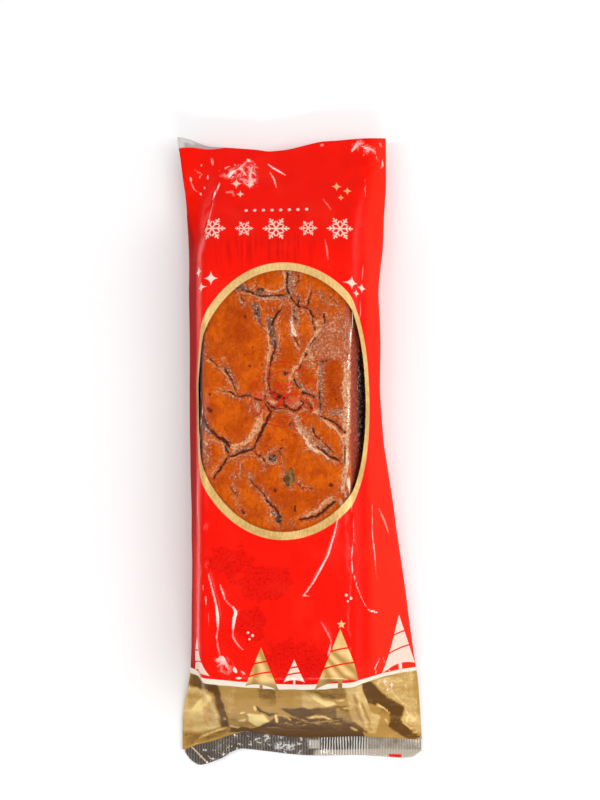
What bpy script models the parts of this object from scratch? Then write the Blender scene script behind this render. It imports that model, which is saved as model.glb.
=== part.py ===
"""Fruited Christmas loaf in its printed flow-wrap bag, lying flat with the window up.

The bag is one skin drawn through cross-sections along Y. It stands on the table at Z = 0, the
trimmed end that is folded under is at +Y, and the open, ribbed end seal is at -Y.
An oval window sinks to the contents: the loaf's cracked crust, and the bag's slope beside it.
"""

import bmesh
import bpy
import numpy as np

MM = 0.001

# Loaf, in millimetres, as it lies in the bag.
LOAF_WIDTH = 100.0
LOAF_HEIGHT = 57.5
LOAF_CENTRE_X = -14.5
LOAF_SHOULDER = 7.0

# Bag, in millimetres. Each outline is a row of (Y, value) stations.
SEAL_Y = -203.0
FOLD_Y = 216.0
LEFT_EDGE_X = ((-206, -81.6), (-184, -81.6), (-163, -77.4), (-142, -75.2), (-79, -74.6),
               (4, -77.3), (79, -78.2), (132, -79.2), (176, -82.4), (216, -89.8))
RIGHT_EDGE_X = ((-206, 87.6), (-163, 85.8), (-80, 75.4), (4, 62.8), (36, 60.4), (79, 60.4),
                (111, 59.4), (143, 63.0), (187, 66.0), (216, 64.6))
LEFT_EDGE_Z = ((-206, 3.0), (-184, 5.0), (-163, 9.0), (-142, 15.0), (-79, 20.0),
               (132, 20.0), (176, 19.0), (216, 17.0))
RIGHT_EDGE_Z = ((-206, 3.0), (-163, 6.0), (-80, 10.0), (4, 16.0), (79, 21.0), (143, 20.0),
                (216, 16.5))
TOP_Z = ((-206, 3.6), (-199, 8.0), (-190, 20.0), (-178, 36.5), (-168, 47.0), (-158, 54.5),
         (-147, 58.0), (124, 58.5), (136, 57.0), (150, 50.5), (170, 39.0), (190, 29.5),
         (206, 22.5), (216, 18.5))
BASE_Z = ((-206, 1.6), (-199, 0.0), (188, 0.0), (202, 3.5), (216, 14.0))
LEFT_RIDGE_X = ((-206, -50.5), (-160, -62.5), (-145, -64.5), (132, -64.5), (150, -61.0),
                (190, -54.0), (216, -50.0))
RIGHT_RIDGE_X = ((-206, 53.0), (-160, 35.5), (132, 35.5), (150, 38.0), (190, 46.0), (216, 52.0))
EAR_SINK = ((-206, 0.0), (-190, 4.0), (-172, 7.0), (-150, 2.0), (-140, 0.0),
            (128, 0.0), (146, 3.5), (176, 5.0), (200, 2.5), (216, 0.0))
EAR_SHARE = 0.55
EAR_LEAN = 0.6
EAR_DROP = 0.8
EAR_LEAST_RISE = 1.2
SIDE_TUCK = 9.0
FULL_BULGE_Z = 20.0
FILM_SOFTEN = 3.0

# The cross-section has eight corners, from the base on the left round over the top.
CORNER_R = (7.0, 11.0, 4.0, 5.5, 4.5, 4.0, 11.0, 7.0)
CORNER_MOST_SHARE = 0.45
EDGE_STEPS = (1, 2, 2, 9, 2, 2, 1, 8)
TOP_EDGE = 3
CORNER_STEPS = 3
END_STEP = 5.0
BODY_STEP = 11.0
BODY_FROM_Y = -140.0
BODY_TO_Y = 126.0

# The end lines of the bag waver in plan: rows of (X, Y).
SEAL_LINE = ((-80, -212.0), (-70, -207.9), (-57, -205.1), (-49, -201.7), (-36, -198.6),
             (-14, -201.7), (7, -203.1), (41, -202.1), (69, -203.6), (84, -204.8))
SEAL_RIM = ((-80, -212.5), (-75, -219.5), (-69, -222.7), (-63, -221.3), (-52, -217.0),
            (-46, -212.9), (-40, -210.8), (-29, -212.2), (-7, -214.9), (4, -215.6),
            (38, -215.6), (71, -217.2), (80, -216.8), (87, -211.8))
FOLD_LINE = ((-86, 222.9), (-76, 220.2), (-70, 217.3), (-64, 215.1), (-50, 214.3), (-30, 212.9),
             (-21, 211.4), (-7, 212.9), (4, 215.8), (16, 218.8), (27, 219.5), (44, 221.0),
             (61, 221.8))
WAVER_REACH = 34.0

# End seals: two films pressed together between ribbed jaws.
STRIP_DEPTH = 13.6
STRIP_THICK = 0.9
RIB_PITCH = 1.75
RIB_RISE = 0.55
SEAL_STRIP_X = (-79.0, 86.2)
SEAL_STRIP_Z = 2.6
SEAL_WAVE = 1.3
SEAL_WAVE_LENGTH = 66.0
FOLDED_STRIP_X = (-82.0, 58.0)
FOLDED_STRIP_Z = (15.2, 2.2)
STRIP_BITE = 2.5
STRIP_LEAST_Z = 0.2
RIM_SOFTEN = 1.5

# Oval window, inside its printed frame.
WINDOW_CENTRE = (-10.0, 29.2)
WINDOW_HALF = (56.5, 88.6)
WINDOW_DEPTH = 0.8
WINDOW_FLOOR_Z = 24.0
WINDOW_SIDES = 72

# Crust: the main cracks, each a row of (X, Y) along its floor, and the relief they make.
CRACKS = (
    ((-42, 106), (-26, 103), (-9, 101), (-4, 99)),
    ((-9, 116), (-5, 100), (6, 91), (18, 82)),
    ((-11, 95), (-18, 80), (-20, 48), (-17, 33)),
    ((-5, 95), (-4, 77), (3, 59)),
    ((18, 82), (3, 57), (-5, 38)),
    ((-66, 69), (-57, 55), (-44, 43), (-35, 31), (-17, 27)),
    ((-5, 44), (12, 31), (33, 9)),
    ((9, 57), (26, 57), (33, 50)),
    ((-19, 21), (-31, -3), (-48, -10), (-57, -25)),
    ((-64, 10), (-50, 0), (-48, -9)),
    ((-31, -4), (-21, -15)),
    ((-5, 19), (11, -2), (28, -12)),
    ((-31, -21), (-15, -43), (-11, -58)),
    ((-1, -52), (16, -46), (26, -38)),
)
CRACK_DEPTH = 2.4
CRACK_HALF_WIDTH = 4.2
CRACK_CURVE = 1.3
CRUST_STEP = 3.6
CRUST_EDGE = 4.0

PRINT_SNOW_Y = -160.0
SHARP_EDGE_DEGREES = 38.0


def along(stations, at, soften=5.0):
    """A value read from a row of stations, its corners softened by a running mean."""
    places, values = zip(*stations)
    spread = np.linspace(-soften, soften, 5)
    return float(np.mean(np.interp(at + spread, places, values)))


def material(name, colour, roughness, metallic=0.0):
    """A plain finish in one colour."""
    made = bpy.data.materials.new(name)
    made.use_nodes = True
    shader = made.node_tree.nodes["Principled BSDF"]
    shader.inputs["Base Color"].default_value = (*colour, 1.0)
    shader.inputs["Roughness"].default_value = roughness
    shader.inputs["Metallic"].default_value = metallic
    made.diffuse_color = (*colour, 1.0)
    return made


def corner_points(y, inset):
    """The eight corners of the bag's cross-section at y, clockwise from the base on the left."""
    left_x = along(LEFT_EDGE_X, y) + inset
    right_x = along(RIGHT_EDGE_X, y) - inset
    left_z = along(LEFT_EDGE_Z, y)
    right_z = along(RIGHT_EDGE_Z, y)
    top_z = along(TOP_Z, y, FILM_SOFTEN) - inset
    base_z = along(BASE_Z, y, FILM_SOFTEN) + inset
    sink = along(EAR_SINK, y)
    left_ridge = np.array((along(LEFT_RIDGE_X, y) + inset, top_z))
    right_ridge = np.array((along(RIGHT_RIDGE_X, y) - inset, top_z))
    left_bulge = np.array((left_x, left_z))
    right_bulge = np.array((right_x, right_z))
    tuck = SIDE_TUCK * min(1.0, left_z / FULL_BULGE_Z)
    inwards = sink * np.array((EAR_LEAN, -EAR_DROP))
    left_ear = left_ridge + (left_bulge - left_ridge) * EAR_SHARE + inwards
    right_ear = right_ridge + (right_bulge - right_ridge) * EAR_SHARE + inwards * (-1.0, 1.0)
    for ear in (left_ear, right_ear):
        ear[1] = max(ear[1], base_z + EAR_LEAST_RISE)
    return [np.array((left_x + tuck, base_z)), left_bulge, left_ear, left_ridge,
            right_ridge, right_ear, right_bulge, np.array((right_x - tuck, base_z))]


def section(y, inset=0.0, edge_steps=EDGE_STEPS):
    """The closed cross-section at y: straight runs between corners rounded by small arcs."""
    corners = corner_points(y, inset)
    count = len(corners)
    arcs = []
    for i, corner in enumerate(corners):
        before = corners[i - 1] - corner
        after = corners[(i + 1) % count] - corner
        reach_before = min(CORNER_R[i], np.linalg.norm(before) * CORNER_MOST_SHARE)
        reach_after = min(CORNER_R[i], np.linalg.norm(after) * CORNER_MOST_SHARE)
        start = corner + before / np.linalg.norm(before) * reach_before
        end = corner + after / np.linalg.norm(after) * reach_after
        steps = np.linspace(0.0, 1.0, CORNER_STEPS)[:, None]
        arcs.append((1 - steps) ** 2 * start + 2 * steps * (1 - steps) * corner + steps**2 * end)
    outline = []
    for i, arc in enumerate(arcs):
        outline.extend(arc)
        following = arcs[(i + 1) % count][0]
        for step in range(1, edge_steps[i] + 1):
            outline.append(arc[-1] + (following - arc[-1]) * step / (edge_steps[i] + 1))
    return np.array(outline)


def wavered(x, y):
    """Y with the wavering end lines worked in, full at each end and gone WAVER_REACH inwards."""
    if y < SEAL_Y + WAVER_REACH:
        share = min(1.0, (SEAL_Y + WAVER_REACH - y) / WAVER_REACH)
        return y + share**2 * (along(SEAL_LINE, x, FILM_SOFTEN) - SEAL_Y)
    if y > FOLD_Y - WAVER_REACH:
        share = min(1.0, (y - FOLD_Y + WAVER_REACH) / WAVER_REACH)
        return y + share**2 * (along(FOLD_LINE, x, FILM_SOFTEN) - FOLD_Y)
    return y


def close_end(build, ring):
    """Close a flat, wavering end with short triangles between its upper and lower halves."""
    left = min(range(len(ring)), key=lambda i: ring[i].co.x)
    right = max(range(len(ring)), key=lambda i: ring[i].co.x)
    upper = ring[left:right + 1]
    lower = [ring[left - i] for i in range(len(ring) - len(upper) + 2)]
    build.faces.new((upper[0], upper[1], lower[1]))
    i = j = 1
    while i < len(upper) - 2 or j < len(lower) - 2:
        ahead = j == len(lower) - 2 or upper[i + 1].co.x < lower[j + 1].co.x
        if ahead and i < len(upper) - 2:
            build.faces.new((upper[i], upper[i + 1], lower[j]))
            i += 1
        else:
            build.faces.new((upper[i], lower[j + 1], lower[j]))
            j += 1
    build.faces.new((upper[i], upper[-1], lower[j]))


def loft(name, stations, rings, materials, pick):
    """One closed skin through the rings, capped at both ends, each face's finish from pick."""
    mesh = bpy.data.meshes.new(name)
    piece = bpy.data.objects.new(name, mesh)
    bpy.context.collection.objects.link(piece)
    for finish in materials:
        mesh.materials.append(finish)
    build = bmesh.new()
    rows = []
    for y, ring in zip(stations, rings):
        rows.append([build.verts.new((x * MM, wavered(x, y) * MM, z * MM)) for x, z in ring])
    for row, following in zip(rows, rows[1:]):
        for i in range(len(row)):
            j = (i + 1) % len(row)
            build.faces.new((row[i], row[j], following[j], following[i]))
    close_end(build, rows[0])
    close_end(build, rows[-1])
    bmesh.ops.recalc_face_normals(build, faces=build.faces)
    for face in build.faces:
        face.material_index = pick(face.calc_center_median() / MM)
        face.smooth = True
    build.to_mesh(mesh)
    build.free()
    return piece


def film_bag(film, gold):
    """The bag's whole skin, red above the printed snow line and gold below it."""
    ends = np.arange(SEAL_Y, BODY_FROM_Y, END_STEP)
    body = np.arange(BODY_FROM_Y, BODY_TO_Y, BODY_STEP)
    far = np.arange(BODY_TO_Y, FOLD_Y + 0.1, END_STEP)
    stations = np.concatenate((ends, body, far))
    rings = [section(y) for y in stations]
    return loft("bread_pack", stations, rings, (film, gold),
                lambda centre: 1 if centre.y < PRINT_SNOW_Y else 0)


def distance_to_cracks(point):
    """The distance in plan from a point to the nearest crack."""
    nearest = np.inf
    for crack in CRACKS:
        ends = np.array(crack, float)
        for a, b in zip(ends, ends[1:]):
            run = b - a
            share = np.clip(np.dot(point - a, run) / np.dot(run, run), 0.0, 1.0)
            nearest = min(nearest, np.linalg.norm(point - a - share * run))
    return nearest


def crust_sink(x, y):
    """How far the crust lies under the film at (x, y): deep in a crack, domed between them."""
    half = LOAF_WIDTH / 2 - CRUST_EDGE
    edge = np.clip((half - abs(x - LOAF_CENTRE_X)) / CRUST_EDGE, 0.0, 1.0)
    away = distance_to_cracks(np.array((x, y))) / CRACK_HALF_WIDTH
    return edge * CRACK_DEPTH * max(0.0, 1.0 - away) ** CRACK_CURVE


def contents(crust, film):
    """What fills the bag, just under the film: the crust on top and the bag's slopes beside it."""
    low = WINDOW_CENTRE[1] - WINDOW_HALF[1] - CRUST_STEP
    high = WINDOW_CENTRE[1] + WINDOW_HALF[1] + CRUST_STEP
    stations = np.linspace(low, high, int((high - low) / CRUST_STEP))
    fine = list(EDGE_STEPS)
    fine[TOP_EDGE] = int(LOAF_WIDTH / CRUST_STEP)
    rings = []
    for y in stations:
        ring = section(y, WINDOW_DEPTH, fine)
        floor = along(TOP_Z, y, FILM_SOFTEN) - WINDOW_DEPTH - LOAF_SHOULDER
        for point in ring:
            if point[1] > floor:
                point[1] -= crust_sink(point[0], y)
        rings.append(ring)
    return loft("contents", stations, rings, (crust, film), lambda centre: 0)


def ribbed_strip(name, finish, x_range, inner, outer, rise):
    """A pressed strip across X: inner and outer give (Y, Z) of its long edges at each X."""
    ribs = int((x_range[1] - x_range[0]) / RIB_PITCH)
    places = np.linspace(*x_range, 2 * ribs + 1)
    mesh = bpy.data.meshes.new(name)
    piece = bpy.data.objects.new(name, mesh)
    bpy.context.collection.objects.link(piece)
    mesh.materials.append(finish)
    build = bmesh.new()
    rows = []
    for i, x in enumerate(places):
        lift = rise * (i % 2)
        near = inner(x)
        far = outer(x)
        loop = ((near, 0.0), (far, 0.0), (far, STRIP_THICK), (near, STRIP_THICK))
        rows.append([build.verts.new((x * MM, edge[0] * MM, (edge[1] + up + lift) * MM))
                     for edge, up in loop])
    for row, following in zip(rows, rows[1:]):
        for i in range(4):
            j = (i + 1) % 4
            build.faces.new((row[i], row[j], following[j], following[i]))
    build.faces.new(rows[0][::-1])
    build.faces.new(rows[-1])
    bmesh.ops.recalc_face_normals(build, faces=build.faces)
    build.to_mesh(mesh)
    build.free()
    return piece


def seal_height(x):
    """The height of the open seal's outer edge, which waves over the table."""
    return SEAL_STRIP_Z - STRIP_THICK / 2 + SEAL_WAVE * np.sin(2 * np.pi * x / SEAL_WAVE_LENGTH)


def end_seal(finish):
    """The open end seal, flat on the table in front of the gold end panel."""
    def inner(x):
        return along(SEAL_LINE, x, FILM_SOFTEN) + STRIP_BITE, SEAL_STRIP_Z - STRIP_THICK / 2

    def outer(x):
        return along(SEAL_RIM, x, RIM_SOFTEN), max(STRIP_LEAST_Z, seal_height(x))

    return ribbed_strip("end_seal", finish, SEAL_STRIP_X, inner, outer, RIB_RISE)


def folded_seal(finish):
    """The other end seal, folded under the bag and leaning back to the table."""
    def inner(x):
        return along(FOLD_LINE, x, FILM_SOFTEN) - STRIP_BITE, FOLDED_STRIP_Z[0]

    def outer(x):
        return along(FOLD_LINE, x, FILM_SOFTEN) - STRIP_BITE - STRIP_DEPTH, FOLDED_STRIP_Z[1]

    return ribbed_strip("folded_seal", finish, FOLDED_STRIP_X, inner, outer, -RIB_RISE)


def window_cutter():
    """An upright oval block that takes the film away over the window."""
    bpy.ops.mesh.primitive_cylinder_add(vertices=WINDOW_SIDES, radius=1.0, depth=1.0)
    cutter = bpy.context.active_object
    cutter.name = "window_cutter"
    depth = LOAF_HEIGHT + LOAF_SHOULDER - WINDOW_FLOOR_Z
    cutter.scale = (WINDOW_HALF[0] * MM, WINDOW_HALF[1] * MM, depth * MM)
    cutter.location = (WINDOW_CENTRE[0] * MM, WINDOW_CENTRE[1] * MM,
                       (WINDOW_FLOOR_Z + depth / 2) * MM)
    bpy.context.view_layer.update()
    return cutter


def apply_boolean(piece, operation, **operand):
    """Cut or join, apply it, and leave only the piece."""
    modifier = piece.modifiers.new(operation.lower(), "BOOLEAN")
    modifier.operation = operation
    modifier.solver = "EXACT"
    modifier.material_mode = "TRANSFER"
    for key, value in operand.items():
        setattr(modifier, key, value)
    bpy.ops.object.select_all(action="DESELECT")
    piece.select_set(True)
    bpy.context.view_layer.objects.active = piece
    bpy.ops.object.modifier_apply(modifier=modifier.name)


def build_pack():
    """The film with its window cut, joined to its contents and its two end seals."""
    film = material("printed_film", (0.80, 0.012, 0.008), 0.28)
    gold = material("gold_print", (0.55, 0.36, 0.12), 0.35, 0.6)
    clear = material("seal_film", (0.45, 0.42, 0.38), 0.25, 0.3)
    crust = material("bread_crust", (0.46, 0.11, 0.015), 0.5)

    pack = film_bag(film, gold)
    cutter = window_cutter()
    apply_boolean(pack, "DIFFERENCE", object=cutter)
    bpy.data.objects.remove(cutter)

    joined = bpy.data.collections.new("joined")
    bpy.context.scene.collection.children.link(joined)
    for piece in (contents(crust, film), end_seal(clear), folded_seal(clear)):
        bpy.context.collection.objects.unlink(piece)
        joined.objects.link(piece)
    apply_boolean(pack, "UNION", operand_type="COLLECTION", collection=joined)
    for piece in list(joined.objects):
        bpy.data.objects.remove(piece)
    bpy.data.collections.remove(joined)
    pack.data.set_sharp_from_angle(angle=np.radians(SHARP_EDGE_DEGREES))


for existing in list(bpy.data.objects):
    bpy.data.objects.remove(existing)
build_pack()
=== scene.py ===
"""Looks of the fruited Christmas loaf in its printed flow-wrap bag.

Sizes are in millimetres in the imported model's frame: X across the bag, Y along it, Z up.
"""

import bmesh
import bpy
import numpy as np
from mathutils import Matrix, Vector


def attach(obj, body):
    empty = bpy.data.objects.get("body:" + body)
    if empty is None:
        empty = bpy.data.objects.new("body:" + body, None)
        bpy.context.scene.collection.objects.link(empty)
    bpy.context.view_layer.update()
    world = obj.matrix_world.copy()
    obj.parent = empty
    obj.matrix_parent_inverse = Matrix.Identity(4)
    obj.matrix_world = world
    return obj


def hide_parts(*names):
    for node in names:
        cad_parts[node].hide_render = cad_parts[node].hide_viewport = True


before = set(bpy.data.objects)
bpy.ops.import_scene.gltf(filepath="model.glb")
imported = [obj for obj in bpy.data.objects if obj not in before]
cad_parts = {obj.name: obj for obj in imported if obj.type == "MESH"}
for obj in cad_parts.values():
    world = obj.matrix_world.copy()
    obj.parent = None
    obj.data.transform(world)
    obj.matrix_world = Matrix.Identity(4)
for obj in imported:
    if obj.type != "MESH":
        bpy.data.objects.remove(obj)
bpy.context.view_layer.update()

# The bag: one web of printed film, drawn through cross-sections along Y. It hangs from the loaf's
# two upper edges, bulges at the sides, and is pressed flat at both ends. Its finish is print
# on clear film, red with a gold foot and a gold-framed oval window.
MM = 0.001
SEAL_Y = -203.0
FOLD_Y = 216.0
LEFT_EDGE_X = ((-206, -81.6), (-184, -81.6), (-163, -77.4), (-142, -75.2), (-79, -74.6),
               (4, -77.3), (79, -78.2), (132, -79.2), (176, -82.4), (216, -89.8))
RIGHT_EDGE_X = ((-206, 87.6), (-163, 85.8), (-80, 75.4), (4, 62.8), (36, 60.4), (79, 60.4),
                (111, 59.4), (143, 63.0), (187, 66.0), (216, 64.6))
LEFT_EDGE_Z = ((-206, 3.0), (-184, 5.0), (-163, 9.0), (-142, 15.0), (-79, 20.0),
               (132, 20.0), (176, 19.0), (216, 17.0))
RIGHT_EDGE_Z = ((-206, 3.0), (-163, 6.0), (-80, 10.0), (4, 16.0), (79, 21.0), (143, 20.0),
                (216, 16.5))
TOP_Z = ((-206, 3.6), (-199, 8.0), (-190, 20.0), (-178, 36.5), (-168, 47.0), (-158, 54.5),
         (-147, 58.0), (124, 58.5), (136, 57.0), (150, 50.5), (170, 39.0), (190, 29.5),
         (206, 22.5), (216, 18.5))
BASE_Z = ((-206, 1.6), (-199, 0.6), (188, 0.6), (202, 3.5), (216, 14.0))
LEFT_RIDGE_X = ((-206, -50.5), (-160, -62.5), (-145, -64.5), (132, -64.5), (150, -61.0),
                (190, -54.0), (216, -50.0))
RIGHT_RIDGE_X = ((-206, 53.0), (-160, 35.5), (132, 35.5), (150, 38.0), (190, 46.0), (216, 52.0))
EAR_SINK = ((-206, 0.0), (-190, 4.0), (-172, 7.0), (-150, 2.0), (-140, 0.0),
            (128, 0.0), (146, 3.5), (176, 5.0), (200, 2.5), (216, 0.0))
EAR_SHARE = 0.55
SIDE_TUCK = 9.0
FULL_BULGE_Z = 20.0
CORNER_R = (7.0, 11.0, 4.0, 5.5, 4.5, 4.0, 11.0, 7.0)
EDGE_RUNS = (6, 14, 18, 120, 20, 18, 6, 12)
ARC_STEPS = 6
SEAL_LINE = ((-80, -212.0), (-70, -207.9), (-57, -205.1), (-49, -201.7), (-36, -198.6),
             (-14, -201.7), (7, -203.1), (41, -202.1), (69, -203.6), (84, -204.8))
FOLD_LINE = ((-86, 222.9), (-76, 220.2), (-70, 217.3), (-64, 215.1), (-50, 214.3), (-30, 212.9),
             (-21, 211.4), (-7, 212.9), (4, 215.8), (16, 218.8), (27, 219.5), (44, 221.0),
             (61, 221.8))
WAVER_REACH = 34.0
WEB_CENTRE_X = -10.0
LOAF_EDGES = (45.5, -54.5)
HEAD_Y = 128.0
FOOT_Y = -158.0
WINDOW_FLAT_Y = (-45.0, 118.0)

# The photo's viewpoint. Creases, folds and tears are read off the photo, so their paths are in its
# pixels, and are traced back from here onto the film and the crust.
VIEW_FROM = (1.4, -42.5, 876.8)
VIEW_TO = (1.4, 31.6, 30.0)
PHOTO_MIDDLE = (300.0, 400.0)
PHOTO_TALL = 800.0
LENS = 55.0
SENSOR = 36.0
PIXEL_REACH = PHOTO_TALL * LENS / SENSOR
FACING = 0.05

# Sharp creases in the film that catch the light: half width, how white its painted highlight is, how
# high it stands, and its path in the photo.
CREASES = (
    (0.6, 0.55, 0.5, ((203, 585), (206, 600), (208, 615), (208, 626))),
    (0.6, 0.6, 0.9, ((207, 568), (210, 580), (213, 592), (216, 604), (217.5, 615), (218, 628),
      (217, 634))),
    (0.9, 1.0, 0.4, ((216, 604), (217.5, 615), (218, 627))),
    (0.7, 0.7, 0, ((216.5, 636), (216.5, 638))),
    (0.6, 0.32, 0.3, ((217, 640), (218, 648), (220, 655))),
    (0.6, 0.7, 0.6, ((220, 585), (223, 593), (225, 600))),
    (0.6, 0.32, 0.5, ((225, 600), (232, 607))),
    (1.05, 1.0, 0.9, ((233, 607), (236, 612), (234, 620), (233, 629))),
    (0.6, 0.5, 0.5, ((233, 630), (233, 637), (238, 645), (243, 650))),
    (1.4, 0.75, 0.8, ((217, 660), (222, 658), (226, 664))),
    (1.2, 1.0, 0.6, ((234, 668), (236, 672))),
    (0.65, 0.6, 0.3, ((241, 671), (245, 674))),
    (0.75, 0.9, 0.4, ((236, 678), (241, 678))),
    (0.6, 0.75, 0.7, ((338, 518), (334, 535), (328, 555), (320, 570), (314, 581), (307, 591),
      (303, 596), (309, 596.5))),
    (0.7, 0.95, 0.2, ((323, 564), (319, 572))),
    (0.6, 0.65, 0.7, ((351, 503), (353, 520), (353, 540), (351, 558), (352, 572), (356, 586),
      (361, 598), (367, 609), (370, 610.5))),
    (0.7, 1.0, 0.3, ((368, 610), (377, 612.5))),
    (0.6, 0.5, 0.4, ((372, 505), (372, 535), (373.5, 545), (375, 560), (377, 580))),
    (0.6, 0.8, 0, ((373, 543), (373.5, 550))),
    (1.05, 0.28, 0.3, ((379, 509), (384, 520.5), (388, 532.5))),
    (0.6, 0.28, 0.4, ((321, 622), (327, 632), (331, 640), (331, 645))),
    (0.6, 0.6, 0.4, ((331, 644), (328, 656))),
    (0.65, 0.6, 0.4, ((376.5, 676.5), (374.5, 668), (379, 659))),
    (0.6, 0.6, 0.5, ((382, 657), (387, 668), (393, 675), (398, 681))),
    (0.6, 0.28, 0.2, ((360, 301), (360.5, 312.5), (359, 319))),
    (0.85, 0.2, 0, ((363, 266), (362, 280))),
    (0.9, 1.0, 0.9, ((220, 183), (216, 192), (213, 199), (212, 206))),
    (0.6, 0.32, 0.4, ((212, 207), (210, 218), (208, 227))),
    (1.4, 0.9, 0.5, ((248, 160), (249, 161.5))),
    (0.6, 0.6, 0.5, ((246, 163), (240, 168), (236, 171))),
    (1.35, 1.0, 0.5, ((235, 171), (231, 173), (229, 177))),
    (0.9, 0.7, 0.5, ((252, 167), (250, 175), (251, 184))),
    (1.7, 0.7, 0.3, ((250, 179), (252, 184))),
    (0.75, 0.9, 0.8, ((268, 164), (273, 168), (280, 172), (285, 175))),
    (0.6, 0.65, 0.5, ((270, 172), (274, 179), (276.5, 187))),
    (0.85, 0.5, 0, ((201, 165), (202, 166))),
    (0.9, 0.6, 0, ((190.5, 178), (191, 181))),
    (0.6, 0.28, 0.3, ((191, 182), (194, 189), (197, 192))),
    (0.9, 0.6, 0, ((205, 187), (205, 189))),
    (0.85, 0.7, 0, ((200, 192), (202, 196))),
    (0.85, 0.5, 0, ((208, 176), (208, 179))),
    (0.65, 0.32, 0, ((200, 176), (199, 179))),
    (0.6, 0.28, 0.3, ((195, 170), (203, 175))),
    (0.85, 0.5, 0, ((219.5, 171), (220.5, 172))),
    (0.9, 0.6, 0, ((225, 168.5), (227, 168))),
    (1.05, 0.7, 0, ((229, 167), (230, 167))),
    (0.85, 0.6, 0, ((234.5, 165), (235.5, 165))),
    (1.05, 0.28, 0, ((212, 159), (213, 165))),
    (0.9, 0.6, 0, ((243, 171), (246, 175))),
    (1, 0.2, 0, ((225, 192), (232, 191), (234, 195))),
    (1.05, 0.7, 0.6, ((358, 142), (355, 147), (352, 151))),
    (0.65, 0.85, 0.6, ((360, 145), (365, 148), (371, 149), (375, 152), (376, 155))),
    (0.6, 0.32, 0, ((376, 156), (378, 161))),
    (0.65, 0.6, 0, ((382, 160), (383, 165), (381, 168))),
    (0.7, 0.6, 0, ((380, 143), (381, 147))),
    (0.9, 0.5, 0, ((363.5, 155), (364.5, 155))),
    (1.05, 0.32, 0, ((321, 145), (323, 145))),
    (0.6, 0.28, 0.3, ((365, 180), (364.5, 189.5), (366, 196.5))),
    (0.6, 0.24, 0.2, ((323, 200), (328, 206), (331, 210))),
    (0.6, 0.24, 0.2, ((325, 240), (327, 250), (328, 260))),
    (1.05, 0.28, 0, ((198, 469), (198, 490), (198, 511.5), (199.5, 530.5))),
    (0.6, 0.9, 0.2, ((201, 392.5), (202.5, 411.5), (201, 421), (200, 433), (199.5, 445), (199, 464))),
    (0.65, 0.85, 0.2, ((352.5, 312), (352, 326), (350.5, 334), (350, 345), (350, 358))),
    (0.6, 0.55, 0.1, ((348, 437), (346.5, 460), (346, 478), (348, 488))),
    (0.9, 0.7, 0, ((349, 478), (350, 494))),
    (1.4, 0.32, 0, ((340, 499), (342, 506))),
)
CREASE_WIDTH = 1.1
# Patches between them where pale highlights are painted on the film, as corners on the web.
HIGHLIGHT_PATCHES = (
    ((-44.4, 191.8), (-35.0, 198.4), (-24.5, 205.0), (-19.3, 201.7), (-18.9, 183.0), (-26.5, 182.3),
     (-31.8, 189.6), (-37.0, 187.4)),
    ((49.0, 212.0), (54.0, 215.0), (65.0, 209.5), (63.5, 206.0), (54.0, 209.0)),
    ((-44.5, -143.0), (-37.0, -142.0), (-32.5, -147.5), (-36.0, -152.5), (-42.0, -150.0)),
)
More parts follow.
